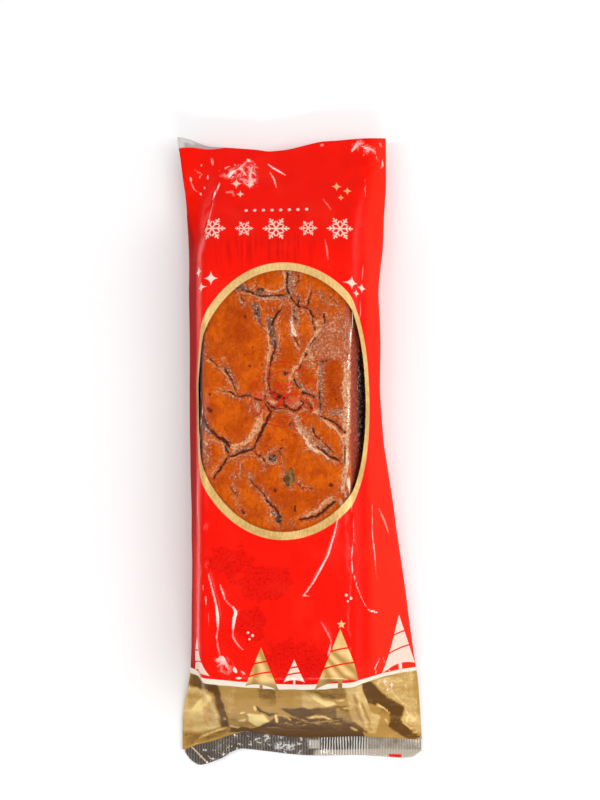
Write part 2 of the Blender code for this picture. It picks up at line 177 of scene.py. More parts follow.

# Flat panels of the gold foot between its folds, painted with the light and shade the folds catch: tone
# from -1 painted shade to +1 painted highlight, whether the panel stands up (+1) or sinks (-1), and its
# corners in the photo. Later ones lie over earlier ones.
FOOT_PANELS = (
    (-0.7, 0, ((191, 673), (207, 673), (209.5, 682), (212, 692), (206.5, 689), (201, 688), (190.5, 686.5),
      (188.5, 682))),
    (0.55, 0, ((188, 686), (200, 689), (210, 692), (213, 697), (217, 710), (222, 727), (213, 729),
      (203, 733), (184, 732), (184, 700))),
    (0.3, 0, ((189, 688), (200, 690), (202, 696), (196, 703), (191, 709), (187, 700))),
    (0.85, 0.4, ((212, 693), (203, 697), (196, 703), (190, 711), (196, 711), (204, 707), (209, 702),
      (213, 698))),
    (-0.4, 0, ((184, 732), (203, 735), (215, 730), (226, 727), (231, 731), (222, 736), (205, 741),
      (197, 743), (192, 748), (184, 748))),
    (-0.8, -1, ((207, 673), (213, 679), (218, 687), (222, 700), (226, 714), (230, 728), (221, 728),
      (217, 711), (213, 696), (210, 686))),
    (0.15, 0, ((219, 683), (236, 686), (234, 703), (230, 718), (226, 705))),
    (-0.05, 0, ((236, 686), (258, 689), (256, 706), (247, 713), (240, 715), (231, 728), (230, 718),
      (234, 703))),
    (-0.38, 0, ((258, 689), (276, 690), (277, 706), (268, 706), (259, 702))),
    (-0.1, 0, ((276, 690), (293, 690), (294, 707), (278, 709))),
    (0.15, 0, ((293, 690), (301, 691), (303, 708), (294, 707))),
    (0.45, 0, ((301, 691), (310, 692), (326, 699), (334, 705), (318, 706), (303, 708))),
    (-0.4, 0, ((301, 688), (346, 687), (346, 699), (333, 700), (318, 694), (307, 691))),
    (1.0, 0.8, ((311, 695), (322, 698), (334, 702), (336, 705), (326, 705), (316, 700))),
    (-0.75, -0.6, ((278, 709), (303, 708), (345, 706), (352, 711), (352, 721), (334, 720),
      (325, 717), (308, 716), (300, 720), (292, 716), (284, 712))),
    (-0.3, 0, ((337, 708), (351, 711), (352, 720), (336, 719))),
    (-0.15, 0, ((231, 714), (246, 712), (249, 727), (240, 729), (230, 728))),
    (1.0, 0.8, ((247, 714), (262, 714), (273, 724), (270, 728), (257, 727), (249, 722))),
    (-0.75, 0, ((275, 716), (292, 717), (332, 717), (352, 722), (362, 731), (350, 733), (300, 734),
      (275, 727), (255, 729))),
    (-0.95, 0, ((231, 728), (250, 728), (275, 728), (300, 731), (362, 731), (366, 738), (300, 741),
      (250, 735), (231, 732))),
    (0.45, 0.5, ((345, 688), (362, 685), (366, 697), (370, 709), (380, 716), (376, 734), (368, 733),
      (353, 721), (348, 705))),
    (0.35, 0, ((373, 683), (415, 669), (421, 734), (402, 721), (404, 707))),
    (-0.2, 0, ((368, 704), (378, 705), (388, 713), (389, 726), (381, 717), (371, 711))),
    (-0.1, 0, ((381, 717), (390, 727), (408, 738), (376, 737), (377, 725))),
    (-0.85, -1, ((362, 684), (372, 682), (404, 707), (401, 720), (421, 736), (412, 740), (400, 735),
      (389, 727), (388, 713), (378, 705), (368, 703), (364, 692))),
)
# Narrow folds among them, painted as dark lines of shade and bright lines of highlight: half width, tone,
# stand, and path in the photo.
FOOT_FOLDS = (
    (0.8, 0.8, 1, ((201, 737), (212, 733), (219, 730), (227, 728))),
    (0.8, 0.9, 0, ((223, 717), (225, 721))),
    (1.25, -0.8, -1, ((256, 706), (261, 711), (268, 714.5), (278, 713))),
    (1.1, 1.0, 0, ((240, 713), (245, 712.5))),
    (1.1, 0.9, 0, ((239, 720), (245, 720.5))),
    (1.1, 0.9, 0, ((254, 706), (256, 710))),
    (0.85, 0.7, 0, ((230, 725.5), (240, 728))),
    (0.95, 1.0, 0, ((276, 714), (277.5, 722))),
    (0.7, 0.5, 0, ((281, 715), (287, 717), (291, 721))),
    (0.85, 0.9, 1, ((309, 717), (316, 715), (324, 716), (332, 719.5))),
    (0.85, -0.7, -1, ((276, 729), (290, 730), (306, 731), (320, 729))),
    (0.8, 0.7, 0, ((336, 702), (345, 700.5))),
    (0.7, 0.6, 0, ((343, 708), (352, 709))),
    (0.8, 0.6, 0, ((350, 727), (358, 730.5))),
    (0.6, -0.2, 0, ((352, 693), (357, 708), (364, 726))),
    (0.6, 0.95, 0, ((356, 692), (361, 708), (368, 728))),
    (0.6, -0.2, 0, ((361, 702), (367, 716), (371, 730))),
    (0.95, -0.6, 0, ((352, 721), (358, 727), (368, 733))),
    (0.85, 1.0, 1, ((376, 704), (384, 707.5), (388.5, 713))),
    (0.7, 0.6, 0, ((384, 719), (388, 723))),
    (0.6, 0.7, 0, ((403, 722), (411, 728), (418, 734))),
    (0.6, 0.8, 0, ((405, 709), (409, 716), (407, 722))),
    (0.6, 0.75, 0, ((412, 705), (411, 715), (415, 724))),
    (0.6, 0.7, 0, ((386, 684), (394, 693), (402, 703))),
)
PANEL_SOFT = 1.5
FOLD_SOFT = 0.8
TONE_RISE = 0.5

# Print, on the web.
OVAL_Y = 29.2
OVAL_OUTER = (68.0, 93.6)
OVAL_INNER = (62.8, 88.4)
SNOW_Y = -161.8
SNOW_RISE = 6.4
SNOW_REACH = 100.0
SNOW_MIDDLE = 10.0
STAMP_AT = (0.6, 33.0)
# Sparkles: place, reach and, where one is wider than tall, how far X is squeezed to draw it.
WINDOW_SPARKLES = (((-49.0, 112.0), 5.2), ((-57.2, 106.4), 4.0, 0.65), ((-63.5, 118.0), 4.4, 0.65),
                   ((47.4, 109.4), 5.0, 0.65), ((60.5, 107.6), 4.0, 0.65), ((53.0, 102.8), 3.0, 0.65))
TOP_GOLD_SPARKLES = (((37.1, 181.3), 4.0), ((44.6, 177.8), 3.4), ((39.9, 172.5), 2.6))
TOP_SPARKLES = (((-33.5, 185.0), 4.4), ((-30.5, 176.5), 3.2), ((-24.0, 184.0), 3.6))
FOOT_SPARKLES = (((82.0, -162.0), 3.0), ((88.0, -165.0), 2.6), ((84.0, -168.0), 2.0))
FOOT_DOTS = (((42.1, -100.8), 0.9), ((45.4, -102.9), 0.9), ((43.2, -104.8), 0.7), ((-23.0, -125.3), 0.8),
             ((-20.0, -127.2), 0.9), ((-22.0, -129.6), 0.7))
# Where the red film clings to the loaf: middle, and reach each way.
CLING_PATCHES = (((-35.0, -79.0), (17.0, 11.0)), ((-12.0, -93.0), (21.0, 12.0)),
                 ((-21.0, -120.0), (11.0, 12.0)), ((9.0, -146.0), (28.0, 17.0)))
# Stretches of the web that get a finish of their own.
WINDOW_FACES_Y = (-68.0, 126.0)
WINDOW_FACES_REACH = 76.0
TOP_FACES_REACH = 125.0
FOOT_FACES_Y = -95.0

FILM_RED = (0.93, 0.0080, 0.0022)
FILM_RED_DEEP = (0.50, 0.002, 0.0015)
FILM_RED_SHEEN = (0.93, 0.034, 0.016)
FILM_SHADE_MAROON = (0.29, 0.011, 0.008)
HIGHLIGHT_PINK = (1.0, 0.80, 0.72)
PRINT_GOLD = (0.47, 0.262, 0.066)
PRINT_GOLD_PALE = (0.82, 0.58, 0.25)
PRINT_GOLD_HIGHLIGHT = (0.92, 0.70, 0.27)
PRINT_GOLD_DARK = (0.125, 0.056, 0.016)
RING_GOLD = (0.56, 0.34, 0.10)
RING_GOLD_PALE = (0.88, 0.58, 0.23)
PRINT_CREAM = (0.90, 0.66, 0.54)
SNOW_CREAM = (0.84, 0.76, 0.62)
GLEAM_GOLD = (1.0, 0.86, 0.52)
GLEAM_WHITE = (1.0, 0.90, 0.80)
STAMP_RED = (0.72, 0.020, 0.006)
BARE_FILM = (0.70, 0.66, 0.63)
TREE_STAR_AT = (38.8, -120.0)
TREES = (
    # foot, size, ink, places of the bands, slant of the hem
    ((-14.4, -163.5), (23.0, 28.5), PRINT_GOLD, (0.34, 0.60), -0.12),
    ((7.6, -158.5), (14.0, 15.5), PRINT_CREAM, (0.35, 0.62), 0.0),
    ((38.0, -161.5), (32.0, 38.5), PRINT_GOLD, (0.34, 0.60), 0.13),
    ((97.0, -154.5), (36.0, 37.5), PRINT_CREAM, (0.34, 0.62), 0.10),
    ((-66.0, -154.5), (36.0, 25.0), PRINT_CREAM, (0.30, 0.60), 0.0),
)


def along(stations, at, soften=5.0):
    """Values read from a row of stations, its corners softened by a running mean."""
    places, values = zip(*stations)
    shifts = np.linspace(-soften, soften, 5)
    return np.mean([np.interp(at + shift, places, values) for shift in shifts], axis=0)


def rounded(corners, radii, runs, arc_steps):
    """A closed outline: runs of even steps between corners rounded by small arcs."""
    count = len(corners)
    arcs = []
    for i, corner in enumerate(corners):
        before = corners[i - 1] - corner
        after = corners[(i + 1) % count] - corner
        reach_before = min(radii[i], np.linalg.norm(before) * 0.45)
        reach_after = min(radii[i], np.linalg.norm(after) * 0.45)
        start = corner + before / np.linalg.norm(before) * reach_before
        end = corner + after / np.linalg.norm(after) * reach_after
        t = np.linspace(0.0, 1.0, arc_steps)[:, None]
        arcs.append((1 - t) ** 2 * start + 2 * t * (1 - t) * corner + t**2 * end)
    outline = []
    for i, arc in enumerate(arcs):
        following = arcs[(i + 1) % count][0]
        t = (np.arange(runs[i]) + 1)[:, None] / (runs[i] + 1)
        outline.extend((arc, arc[-1] + (following - arc[-1]) * t))
    return np.concatenate(outline)


def bag_corners(y):
    """The eight corners of the bag's cross-section at y, clockwise from the base on the left."""
    top_z = along(TOP_Z, y, 3.0)
    base_z = along(BASE_Z, y, 3.0)
    left_ridge = np.array((along(LEFT_RIDGE_X, y), top_z))
    right_ridge = np.array((along(RIGHT_RIDGE_X, y), top_z))
    left_bulge = np.array((along(LEFT_EDGE_X, y), along(LEFT_EDGE_Z, y)))
    right_bulge = np.array((along(RIGHT_EDGE_X, y), along(RIGHT_EDGE_Z, y)))
    tuck = SIDE_TUCK * min(1.0, left_bulge[1] / FULL_BULGE_Z)
    sink = along(EAR_SINK, y)
    left_ear = left_ridge + (left_bulge - left_ridge) * EAR_SHARE + sink * np.array((0.6, -0.8))
    right_ear = right_ridge + (right_bulge - right_ridge) * EAR_SHARE - sink * np.array((0.6, 0.8))
    for ear in (left_ear, right_ear):
        ear[1] = max(ear[1], base_z + 1.2)
    return [np.array((left_bulge[0] + tuck, base_z)), left_bulge, left_ear, left_ridge,
            right_ridge, right_ear, right_bulge, np.array((right_bulge[0] - tuck, base_z))]


def wavered(x, y):
    """Y with the wavering end lines worked in, full at each end and gone WAVER_REACH inwards."""
    near_seal = np.clip((SEAL_Y + WAVER_REACH - y) / WAVER_REACH, 0, 1) ** 2
    near_fold = np.clip((y - FOLD_Y + WAVER_REACH) / WAVER_REACH, 0, 1) ** 2
    return (y + near_seal * (along(SEAL_LINE, x, 3.0) - SEAL_Y)
            + near_fold * (along(FOLD_LINE, x, 3.0) - FOLD_Y))


def patchy(x, y, size, seed):
    """Smooth random values from -1 to 1 over a plane, size being the spacing of the patches."""
    lattice = np.random.default_rng(seed).uniform(-1, 1, (64, 64))
    u = x / size
    v = y / size
    i = np.floor(u).astype(int)
    j = np.floor(v).astype(int)
    p = (u - i) ** 2 * (3 - 2 * (u - i))
    q = (v - j) ** 2 * (3 - 2 * (v - j))
    near = lattice[i % 64, j % 64] * (1 - p) + lattice[(i + 1) % 64, j % 64] * p
    far = lattice[i % 64, (j + 1) % 64] * (1 - p) + lattice[(i + 1) % 64, (j + 1) % 64] * p
    return near * (1 - q) + far * q


def crumpled(x, y, size, seed):
    """Flat facets meeting in sharp folds, as in creased film, from about -1 to 1."""
    random = np.random.default_rng(seed)
    height = np.zeros(x.shape)
    warp = size * 0.35
    bent_x = x + warp * patchy(x, y, size * 1.3, seed + 1)
    bent_y = y + warp * patchy(x, y, size * 1.3, seed + 2)
    for turn in random.uniform(0, np.pi, 5):
        pitch = size * random.uniform(0.7, 1.6)
        place = (bent_x * np.cos(turn) + bent_y * np.sin(turn)) / pitch + random.uniform(0, 1)
        height += (np.abs(place % 2.0 - 1.0) * 2 - 1) * pitch / size
    return height / 5 * 1.6


def from_path(x, y, path):
    """Distance from points to a path, and the share of the path passed where it is nearest."""
    path = np.array(path, float)
    lengths = np.linalg.norm(np.diff(path, axis=0), axis=1)
    nearest = np.full(x.shape, np.inf)
    passed = np.zeros(x.shape)
    gone = 0.0
    for a, b, length in zip(path, path[1:], lengths):
        run = (b - a) / length
        t = np.clip((x - a[0]) * run[0] + (y - a[1]) * run[1], 0, length)
        away = np.hypot(x - a[0] - t * run[0], y - a[1] - t * run[1])
        closer = away < nearest
        nearest = np.where(closer, away, nearest)
        passed = np.where(closer, (gone + t) / lengths.sum(), passed)
        gone += length
    return nearest, passed


def within(x, y, corners):
    """Distance from points to a closed outline, above 0 inside it."""
    corners = np.array(corners, float)
    following = np.roll(corners, -1, axis=0)
    away, _ = from_path(x, y, np.concatenate((corners, corners[:1])))
    odd = np.zeros(x.shape, bool)
    for a, b in zip(corners, following):
        spans = (a[1] > y) != (b[1] > y)
        rise = b[1] - a[1] if b[1] != a[1] else 1.0
        odd ^= spans & (x < a[0] + (b[0] - a[0]) * (y - a[1]) / rise)
    return np.where(odd, away, -away)


def cap(ring, x):
    """Triangles that close a flat ring between its left and right ends. x is each point's X."""
    left = int(np.argmin(x))
    right = int(np.argmax(x))
    count = len(ring)
    upper = [i % count for i in range(left, right + 1)]
    lower = [(left - i) % count for i in range(count - len(upper) + 2)]
    faces = [(upper[0], upper[1], lower[1])]
    i = j = 1
    while i < len(upper) - 2 or j < len(lower) - 2:
        upper_next = j == len(lower) - 2 or x[upper[i + 1]] < x[lower[j + 1]]
        if upper_next and i < len(upper) - 2:
            faces.append((upper[i], upper[i + 1], lower[j]))
            i += 1
        else:
            faces.append((upper[i], lower[j + 1], lower[j]))
            j += 1
    faces.append((upper[i], upper[-1], lower[j]))
    return [tuple(int(ring[k]) for k in face) for face in faces]


def skin(name, points, web=None):
    """A closed tube through rows of points. web, if given, is where each lies on the flat film."""
    rows, columns = points.shape[:2]
    index = np.arange(rows * columns).reshape(rows, columns)
    after = np.roll(index, -1, axis=1)
    quads = np.stack((index[:-1], after[:-1], after[1:], index[1:]), axis=-1).reshape(-1, 4)
    caps = cap(index[0], points[0, :, 0]) + cap(index[-1], points[-1, :, 0])
    mesh = bpy.data.meshes.new(name)
    mesh.from_pydata((points.reshape(-1, 3) * MM).tolist(), [], quads.tolist() + caps)
    if web is not None:
        wide = np.concatenate((web, web[:, :1]), axis=1)
        wide[:, -1, 0] = web[:, -1, 0] + 1.0
        flat = np.stack((wide[:-1, :-1], wide[:-1, 1:], wide[1:, 1:], wide[1:, :-1]), axis=2)
        ends = web.reshape(-1, 2)[np.array(caps).reshape(-1)]
        layer = mesh.uv_layers.new(name="web")
        layer.data.foreach_set("uv", np.concatenate((flat.reshape(-1, 2), ends)).ravel() * MM)
    build = bmesh.new()
    build.from_mesh(mesh)
    bmesh.ops.recalc_face_normals(build, faces=build.faces)
    build.to_mesh(mesh)
    build.free()
    mesh.shade_smooth()
    piece = bpy.data.objects.new(name, mesh)
    bpy.context.scene.collection.objects.link(piece)
    return piece


def note(piece, name, values):
    """Keep a value at every point of a piece, for its finish to read."""
    attribute = piece.data.attributes.new(name, "FLOAT", "POINT")
    attribute.data.foreach_set("value", np.ravel(values).astype(np.float32))


stations = np.concatenate((np.arange(SEAL_Y, -150, 0.9), np.arange(-150, -60, 1.25),
                           np.arange(-60, 124, 1.6), np.arange(124, FOLD_Y + 0.01, 1.0)))
outlines = np.array([rounded(bag_corners(y), CORNER_R, EDGE_RUNS, ARC_STEPS) for y in stations])
steps = np.linalg.norm(np.diff(outlines, axis=1), axis=2)
girth = np.concatenate((np.zeros((len(stations), 1)), np.cumsum(steps, axis=1)), axis=1)
top_from = 4 * ARC_STEPS + sum(EDGE_RUNS[:3])
top_to = top_from + EDGE_RUNS[3]
for row, outline in zip(girth, outlines):
    row -= np.interp(WEB_CENTRE_X, outline[top_from:top_to, 0], row[top_from:top_to])
web = np.stack((girth, np.broadcast_to(stations[:, None], girth.shape)), axis=-1)
across = web[..., 0]
up_web = web[..., 1]
bag_points = np.stack((outlines[..., 0], wavered(outlines[..., 0], up_web), outlines[..., 1]), axis=-1)

normal = np.cross(np.roll(bag_points, -1, axis=1) - np.roll(bag_points, 1, axis=1),
                  np.gradient(bag_points, axis=0))
normal /= np.linalg.norm(normal, axis=2, keepdims=True)
normal *= np.sign(np.median(normal[:, (top_from + top_to) // 2, 2]))

ahead = np.subtract(VIEW_TO, VIEW_FROM)
ahead /= np.linalg.norm(ahead)
rightward = np.array((1.0, 0.0, 0.0))
upward = np.cross(rightward, ahead)
from_view = bag_points - VIEW_FROM
depth = from_view @ ahead
film_seen = np.stack((PHOTO_MIDDLE[0] + PIXEL_REACH * (from_view @ rightward) / depth,
                      PHOTO_MIDDLE[1] - PIXEL_REACH * (from_view @ upward) / depth), axis=-1)
out_of_view = np.where(normal[..., 2] > FACING, 0.0, np.inf)


def on_film(path):
    """A path in the photo's pixels, as places on the web of film that faces the viewer."""
    places = []
    for pixel in path:
        gap = np.linalg.norm(film_seen - pixel, axis=2) + out_of_view
        i, j = np.unravel_index(np.argmin(gap), gap.shape)
        i = np.clip(i, 1, len(web) - 2)
        seen_steps = np.stack((film_seen[i + 1, j] - film_seen[i - 1, j],
                               film_seen[i, j + 1] - film_seen[i, j - 1]), axis=1)
        share = np.clip(np.linalg.solve(seen_steps, pixel - film_seen[i, j]), -1, 1)
        places.append(web[i, j] + share[0] * (web[i + 1, j] - web[i - 1, j])
                      + share[1] * (web[i, j + 1] - web[i, j - 1]))
    return places


shown = np.clip((bag_points[..., 2] - 4.0) / 8.0, 0, 1)
pressed = np.clip((np.minimum(stations - SEAL_Y, FOLD_Y - stations) - 2.0) / 12.0, 0, 1)[:, None]
relief = 0.22 * patchy(across, up_web, 21.0, 3) + 0.07 * patchy(across, up_web, 8.0, 4)
head = np.clip((up_web - HEAD_Y) / 30, 0, 1)
relief = relief + head * (0.7 * crumpled(across, up_web, 26.0, 9)
                          + 0.22 * crumpled(across, up_web, 8.0, 15) * patchy(across, up_web, 22, 19))
on_ridge = sum(np.exp(-((across - edge) / 5) ** 2) for edge in LOAF_EDGES)
off_window = np.clip(np.maximum(WINDOW_FLAT_Y[0] - up_web, up_web - WINDOW_FLAT_Y[1]) / 12, 0, 1)
relief = relief + on_ridge * (0.15 + 0.55 * off_window) * patchy(across * 0.7, up_web, 8.5, 41)
# How white each crease's painted highlight is, along the crest of each crease.
crest = np.full(across.shape, -3.0)
highlight_white = np.zeros(across.shape)
for half, whiteness, height, path in CREASES:
    away, passed = from_path(across, up_web, on_film(path))
    taper = np.sin(np.pi * np.clip(passed, 0.08, 0.92)) ** 0.5
    relief = relief + height * taper * np.exp(-((away / (half + CREASE_WIDTH)) ** 1.2))
    inner = half * (0.4 + 0.6 * taper) - away
    highlight_white = np.where(inner > crest, whiteness * (0.45 + 0.55 * taper), highlight_white)
    crest = np.maximum(crest, inner)
highlight_patch = np.max([np.clip(within(across, up_web, corners) / 3.0 + 0.4, 0, 1) for corners in HIGHLIGHT_PATCHES],
               axis=0)
foot = np.clip((FOOT_Y - up_web) / 8.0, 0, 1)
tone = np.zeros(across.shape)
rise = np.zeros(across.shape)
bent_across = across + 0.7 * patchy(across, up_web, 4.5, 51)
bent_up = up_web + 0.7 * patchy(across, up_web, 4.5, 52)
covers = [(value, stand, within(bent_across, bent_up, on_film(corners)))
          for value, stand, corners in FOOT_PANELS]
softness = [PANEL_SOFT] * len(covers) + [FOLD_SOFT] * len(FOOT_FOLDS)
for half, value, stand, path in FOOT_FOLDS:
    away, passed = from_path(bent_across, bent_up, on_film(path))
    taper = np.clip(np.minimum(passed, 1 - passed) * 4 + 0.3, 0, 1)
    covers.append((value, stand, half * taper - away))
for (value, stand, inner), soft in zip(covers, softness):
    cover = np.clip(inner / soft + 0.5, 0, 1)
    tone = tone + (value - tone) * cover
    rise = rise + (stand - rise) * cover
relief = relief + foot * (TONE_RISE * rise + 0.8 * crumpled(across, up_web, 17.0, 31)
                          + 0.5 * crumpled(across, up_web, 6.0, 35))
strip_zone = np.exp(-((across - (47 + (-160 - up_web) * 0.25)) / 6.0) ** 2)
relief = relief + foot * strip_zone * 0.4 * patchy(across, up_web * 0.3, 2.4, 13)
relief = relief * shown * pressed
bag_points = bag_points + normal * relief[..., None]
bag_points[..., 2] = np.maximum(bag_points[..., 2], 0.45)

bag = skin("film_bag", bag_points, web)
note(bag, "tone", tone)
note(bag, "crest", crest)
note(bag, "highlight_white", highlight_white)
note(bag, "highlight_patch", highlight_patch)


class Shade:
    """A socket of a material's nodes. Sums on it add Math nodes, and node() adds any other."""

    def __init__(self, tree, socket=None):
        self.tree = tree
        self.socket = socket

    def node(self, kind, settings=(), sockets=(), output=0):
        made = self.tree.nodes.new("ShaderNode" + kind)
        for key, value in dict(settings).items():
            setattr(made, key, value)
        for key, value in dict(sockets).items():
            if isinstance(value, Shade):
                self.tree.links.new(value.socket, made.inputs[key])
            elif made.inputs[key].type == "RGBA":
                made.inputs[key].default_value = (*value, 1.0)
            else:
                made.inputs[key].default_value = value
        return Shade(self.tree, made.outputs[output])

    def noted(self, name):
        """A value that note() kept on the piece."""
        return self.node("Attribute", {"attribute_name": name}, (), 2)

    def parts(self):
        """The parts of a vector along X, Y and Z."""
        split = self.node("SeparateXYZ", (), {0: self}).socket.node
        return [Shade(self.tree, part) for part in split.outputs]

    def scaled(self, *factors):
        """A vector with each of its parts multiplied."""
        return self.node("VectorMath", {"operation": "MULTIPLY"}, {0: self, 1: factors})

    def maths(self, operation, *values):
        return self.node("Math", {"operation": operation}, enumerate(values))

    def __add__(self, other):
        return self.maths("ADD", self, other)

    def __sub__(self, other):
        return self.maths("SUBTRACT", self, other)

    def __rsub__(self, other):
        return self.maths("SUBTRACT", other, self)

    def __mul__(self, other):
        return self.maths("MULTIPLY", self, other)

    def __truediv__(self, other):
        return self.maths("DIVIDE", self, other)

    def __pow__(self, other):
        return self.maths("POWER", self, other)

    def __abs__(self):
        return self.maths("ABSOLUTE", self)

    __radd__ = __add__
    __rmul__ = __mul__

    def lowest(self, other):
        return self.maths("MINIMUM", self, other)

    def highest(self, other):
        return self.maths("MAXIMUM", self, other)

    def span(self, low, high, new_low=0.0, new_high=1.0):
        """Rises smoothly from new_low to new_high as this goes from low to high."""
        return self.node("MapRange", {"interpolation_type": "SMOOTHSTEP"},
                         {0: self, 1: low, 2: high, 3: new_low, 4: new_high})

    def mix(self, first, second):
        """The colour first where this is 0, and second where it is 1."""
        return self.node("Mix", {"data_type": "RGBA"}, {0: self, 6: first, 7: second}, 2)


def new_finish(name):
    """A material with nothing in it, as (material, its Shade)."""
    made = bpy.data.materials.new(name)
    made.use_nodes = True
    made.node_tree.nodes.clear()
    return made, Shade(made.node_tree)


def web_place(s):
    """Where a point is on the flat film: its UV vector in mm, and the two parts of it."""
    place = s.node("UVMap", {"uv_map": "web"}).scaled(1 / MM, 1 / MM, 1 / MM)
    return place, *place.parts()[:2]


def own_place(s):
    """Where a point is in its piece's own space: its vector in mm, and the three parts of it."""
    place = s.node("TexCoord", (), (), 3).scaled(1 / MM, 1 / MM, 1 / MM)
    return place, *place.parts()


def noise(s, place, scale, detail=2.0, rough=0.5):
    """Random values about 0.5, in patches that shrink as scale grows."""
    return s.node("TexNoise", (), {"Vector": place, "Scale": scale, "Detail": detail,
                                   "Roughness": rough})


def distance(s, x, y):
    """Distance from the middle."""
    return (x * x + y * y) ** 0.5


def any_of(masks):
    """1 where any of several masks is 1."""
    found, *others = masks
    for mask in others:
        found = found.highest(mask)
    return found


def layered(colour, layers):
    """A colour with others laid over it in turn, each as strongly as its share says."""
    for share, tint in layers:
        colour = share.mix(colour, tint)
    return colour


def inside(edge, blur=0.25):
    """1 where edge, a distance in mm that is negative inside, says so."""
    return edge.span(-blur, blur, 1.0, 0.0)


def oval(x, y, half):
    """Distance, in mm, outside an oval about the window's centre."""
    evened = x.lowest(x * 0.96)
    reach = distance(x, evened / half[0], (y - OVAL_Y) / half[1])
    return (reach - 1.0) * ((half[0] + half[1]) / 2)


def sparkle(x, y, at, reach, squeeze=1.0):
    """1 within a four-pointed sparkle with hollow sides, wider than tall if squeeze is below 1."""
    near = abs((x - at[0]) * squeeze) ** 0.55 + abs(y - at[1]) ** 0.55
    return inside((near - reach**0.55) * 1.6)


def painted_highlight(s, place):
    """Painted highlight on the film, along its creases and in patches, from 0 to 1."""
    crest = s.noted("crest") + (noise(s, place, 0.8, 3.0, 0.7) - 0.5) * 1.3
    sharp = crest.span(-0.25, 0.35) * s.noted("highlight_white")
    patch_glints = noise(s, place, 0.28, 4.0, 0.75).span(0.44, 0.64) * 0.65
    return sharp.highest(s.noted("highlight_patch") * patch_glints)


def snowflake(s, x, y, size):
    """Distance outside a six-armed snowflake, its arms branching twice."""
    angle = s.maths("PINGPONG", s.maths("ARCTAN2", y, x), float(np.pi / 6))
    reach = distance(s, x, y)
    u = reach * s.maths("COSINE", angle) / size
    v = reach * s.maths("SINE", angle) / size
    arm = (v - 0.055).highest(u - 1.0)
    slant = abs((u - 0.42) * 0.866 - v * 0.5).highest(abs((u - 0.42) * 0.5 + v * 0.866 - 0.16) - 0.11)
    second = abs((u - 0.68) * 0.866 - v * 0.5)
    branch = (slant - 0.05).lowest((second - 0.05).highest(abs(v - 0.09) - 0.09))
    return arm.lowest(branch) * size


def red_field(s, place, x, y):
    """The red ground: even ink, deeper and speckled where it clings to the crust, with painted sheen,
    painted shade at the left and painted highlights along the creases.
    """
    ragged = (noise(s, place, 0.16, 3.0, 0.6) - 0.5) * 1.5
    cling = any_of(
        (1.0 - distance(s, (x - at[0]) / reach[0], (y - at[1]) / reach[1]) + ragged).span(0.0, 0.2)
        for at, reach in CLING_PATCHES)
    fine = noise(s, place, 0.55, 3.0, 0.75).span(0.50, 0.62)
    deep = cling * 0.25 + cling * fine * 0.5 + noise(s, place, 0.05, 2.0).span(0.35, 0.7) * 0.15
    streak = noise(s, place.scaled(1.0, 0.06, 1.0), 0.45, 2.0, 0.6).span(0.45, 0.62)
    above_window = inside(abs(x + 12.0) - 32.0, 8.0) * inside(abs(y - 132.0) - 8.0, 10.0)
    deep = deep + streak * above_window * 0.5
    ground = deep.lowest(1.0).mix(FILM_RED, FILM_RED_DEEP)
    # Painted reflection: lighter red down the right slope and in broad soft patches.
    ground = (x.span(58.0, 72.0) * 0.7).mix(ground, FILM_RED_SHEEN)
    ground = (noise(s, place, 0.035, 2.0).span(0.50, 0.68) * 0.2).mix(ground, FILM_RED_SHEEN)
    # Painted shade, in maroon, down the steep left side of the bag and along its left edge.
    side = (x * -1.0).span(66.0, 71.0) * y.span(-95.0, -40.0) * y.span(110.0, 175.0, 1.0, 0.0) * 0.9
    edge = (x * -1.0).span(74.0, 80.0) * 0.8
    ground = side.highest(edge).mix(ground, FILM_SHADE_MAROON)
    # Painted highlights, near white, along the creases and in patches.
    return painted_highlight(s, place).mix(ground, HIGHLIGHT_PINK)


def film_bump(s, place, strength=0.25):
    """Fine creasing in the film, too small for its mesh."""
    wrinkle = noise(s, place.scaled(1.0, 0.45, 1.0), 0.16, 3.0, 0.55)
    return s.node("Bump", (), {"Strength": strength, "Distance": 0.0006, "Height": wrinkle})


def printed(s, x, colour, bump, roughness=0.16, metallic=0.06):
    """Ink under gloss film, duller where the film hangs down the sides."""
    gloss = s.node("BsdfPrincipled", (), {
        "Base Color": colour, "Roughness": roughness, "Metallic": metallic, "Normal": bump,
        "Specular IOR Level": 0.06})
    dull = s.node("BsdfDiffuse", (), {"Color": colour, "Normal": bump})
    hanging = abs(x + 5.0).span(54.0, 68.0, 0.0, 0.85)
    return s.node("MixShader", (), {0: hanging, 1: gloss, 2: dull})


def output(s, surface):
    """Make a surface the whole of its material."""
    end = s.tree.nodes.new("ShaderNodeOutputMaterial")
    s.tree.links.new(surface.socket, end.inputs[0])


def plain_red():
    """Red film with nothing on it, for the back and the sides."""
    made, s = new_finish("red_film")
    place, x, y = web_place(s)
    output(s, printed(s, x, red_field(s, place, x, y), film_bump(s, place)))
    return made


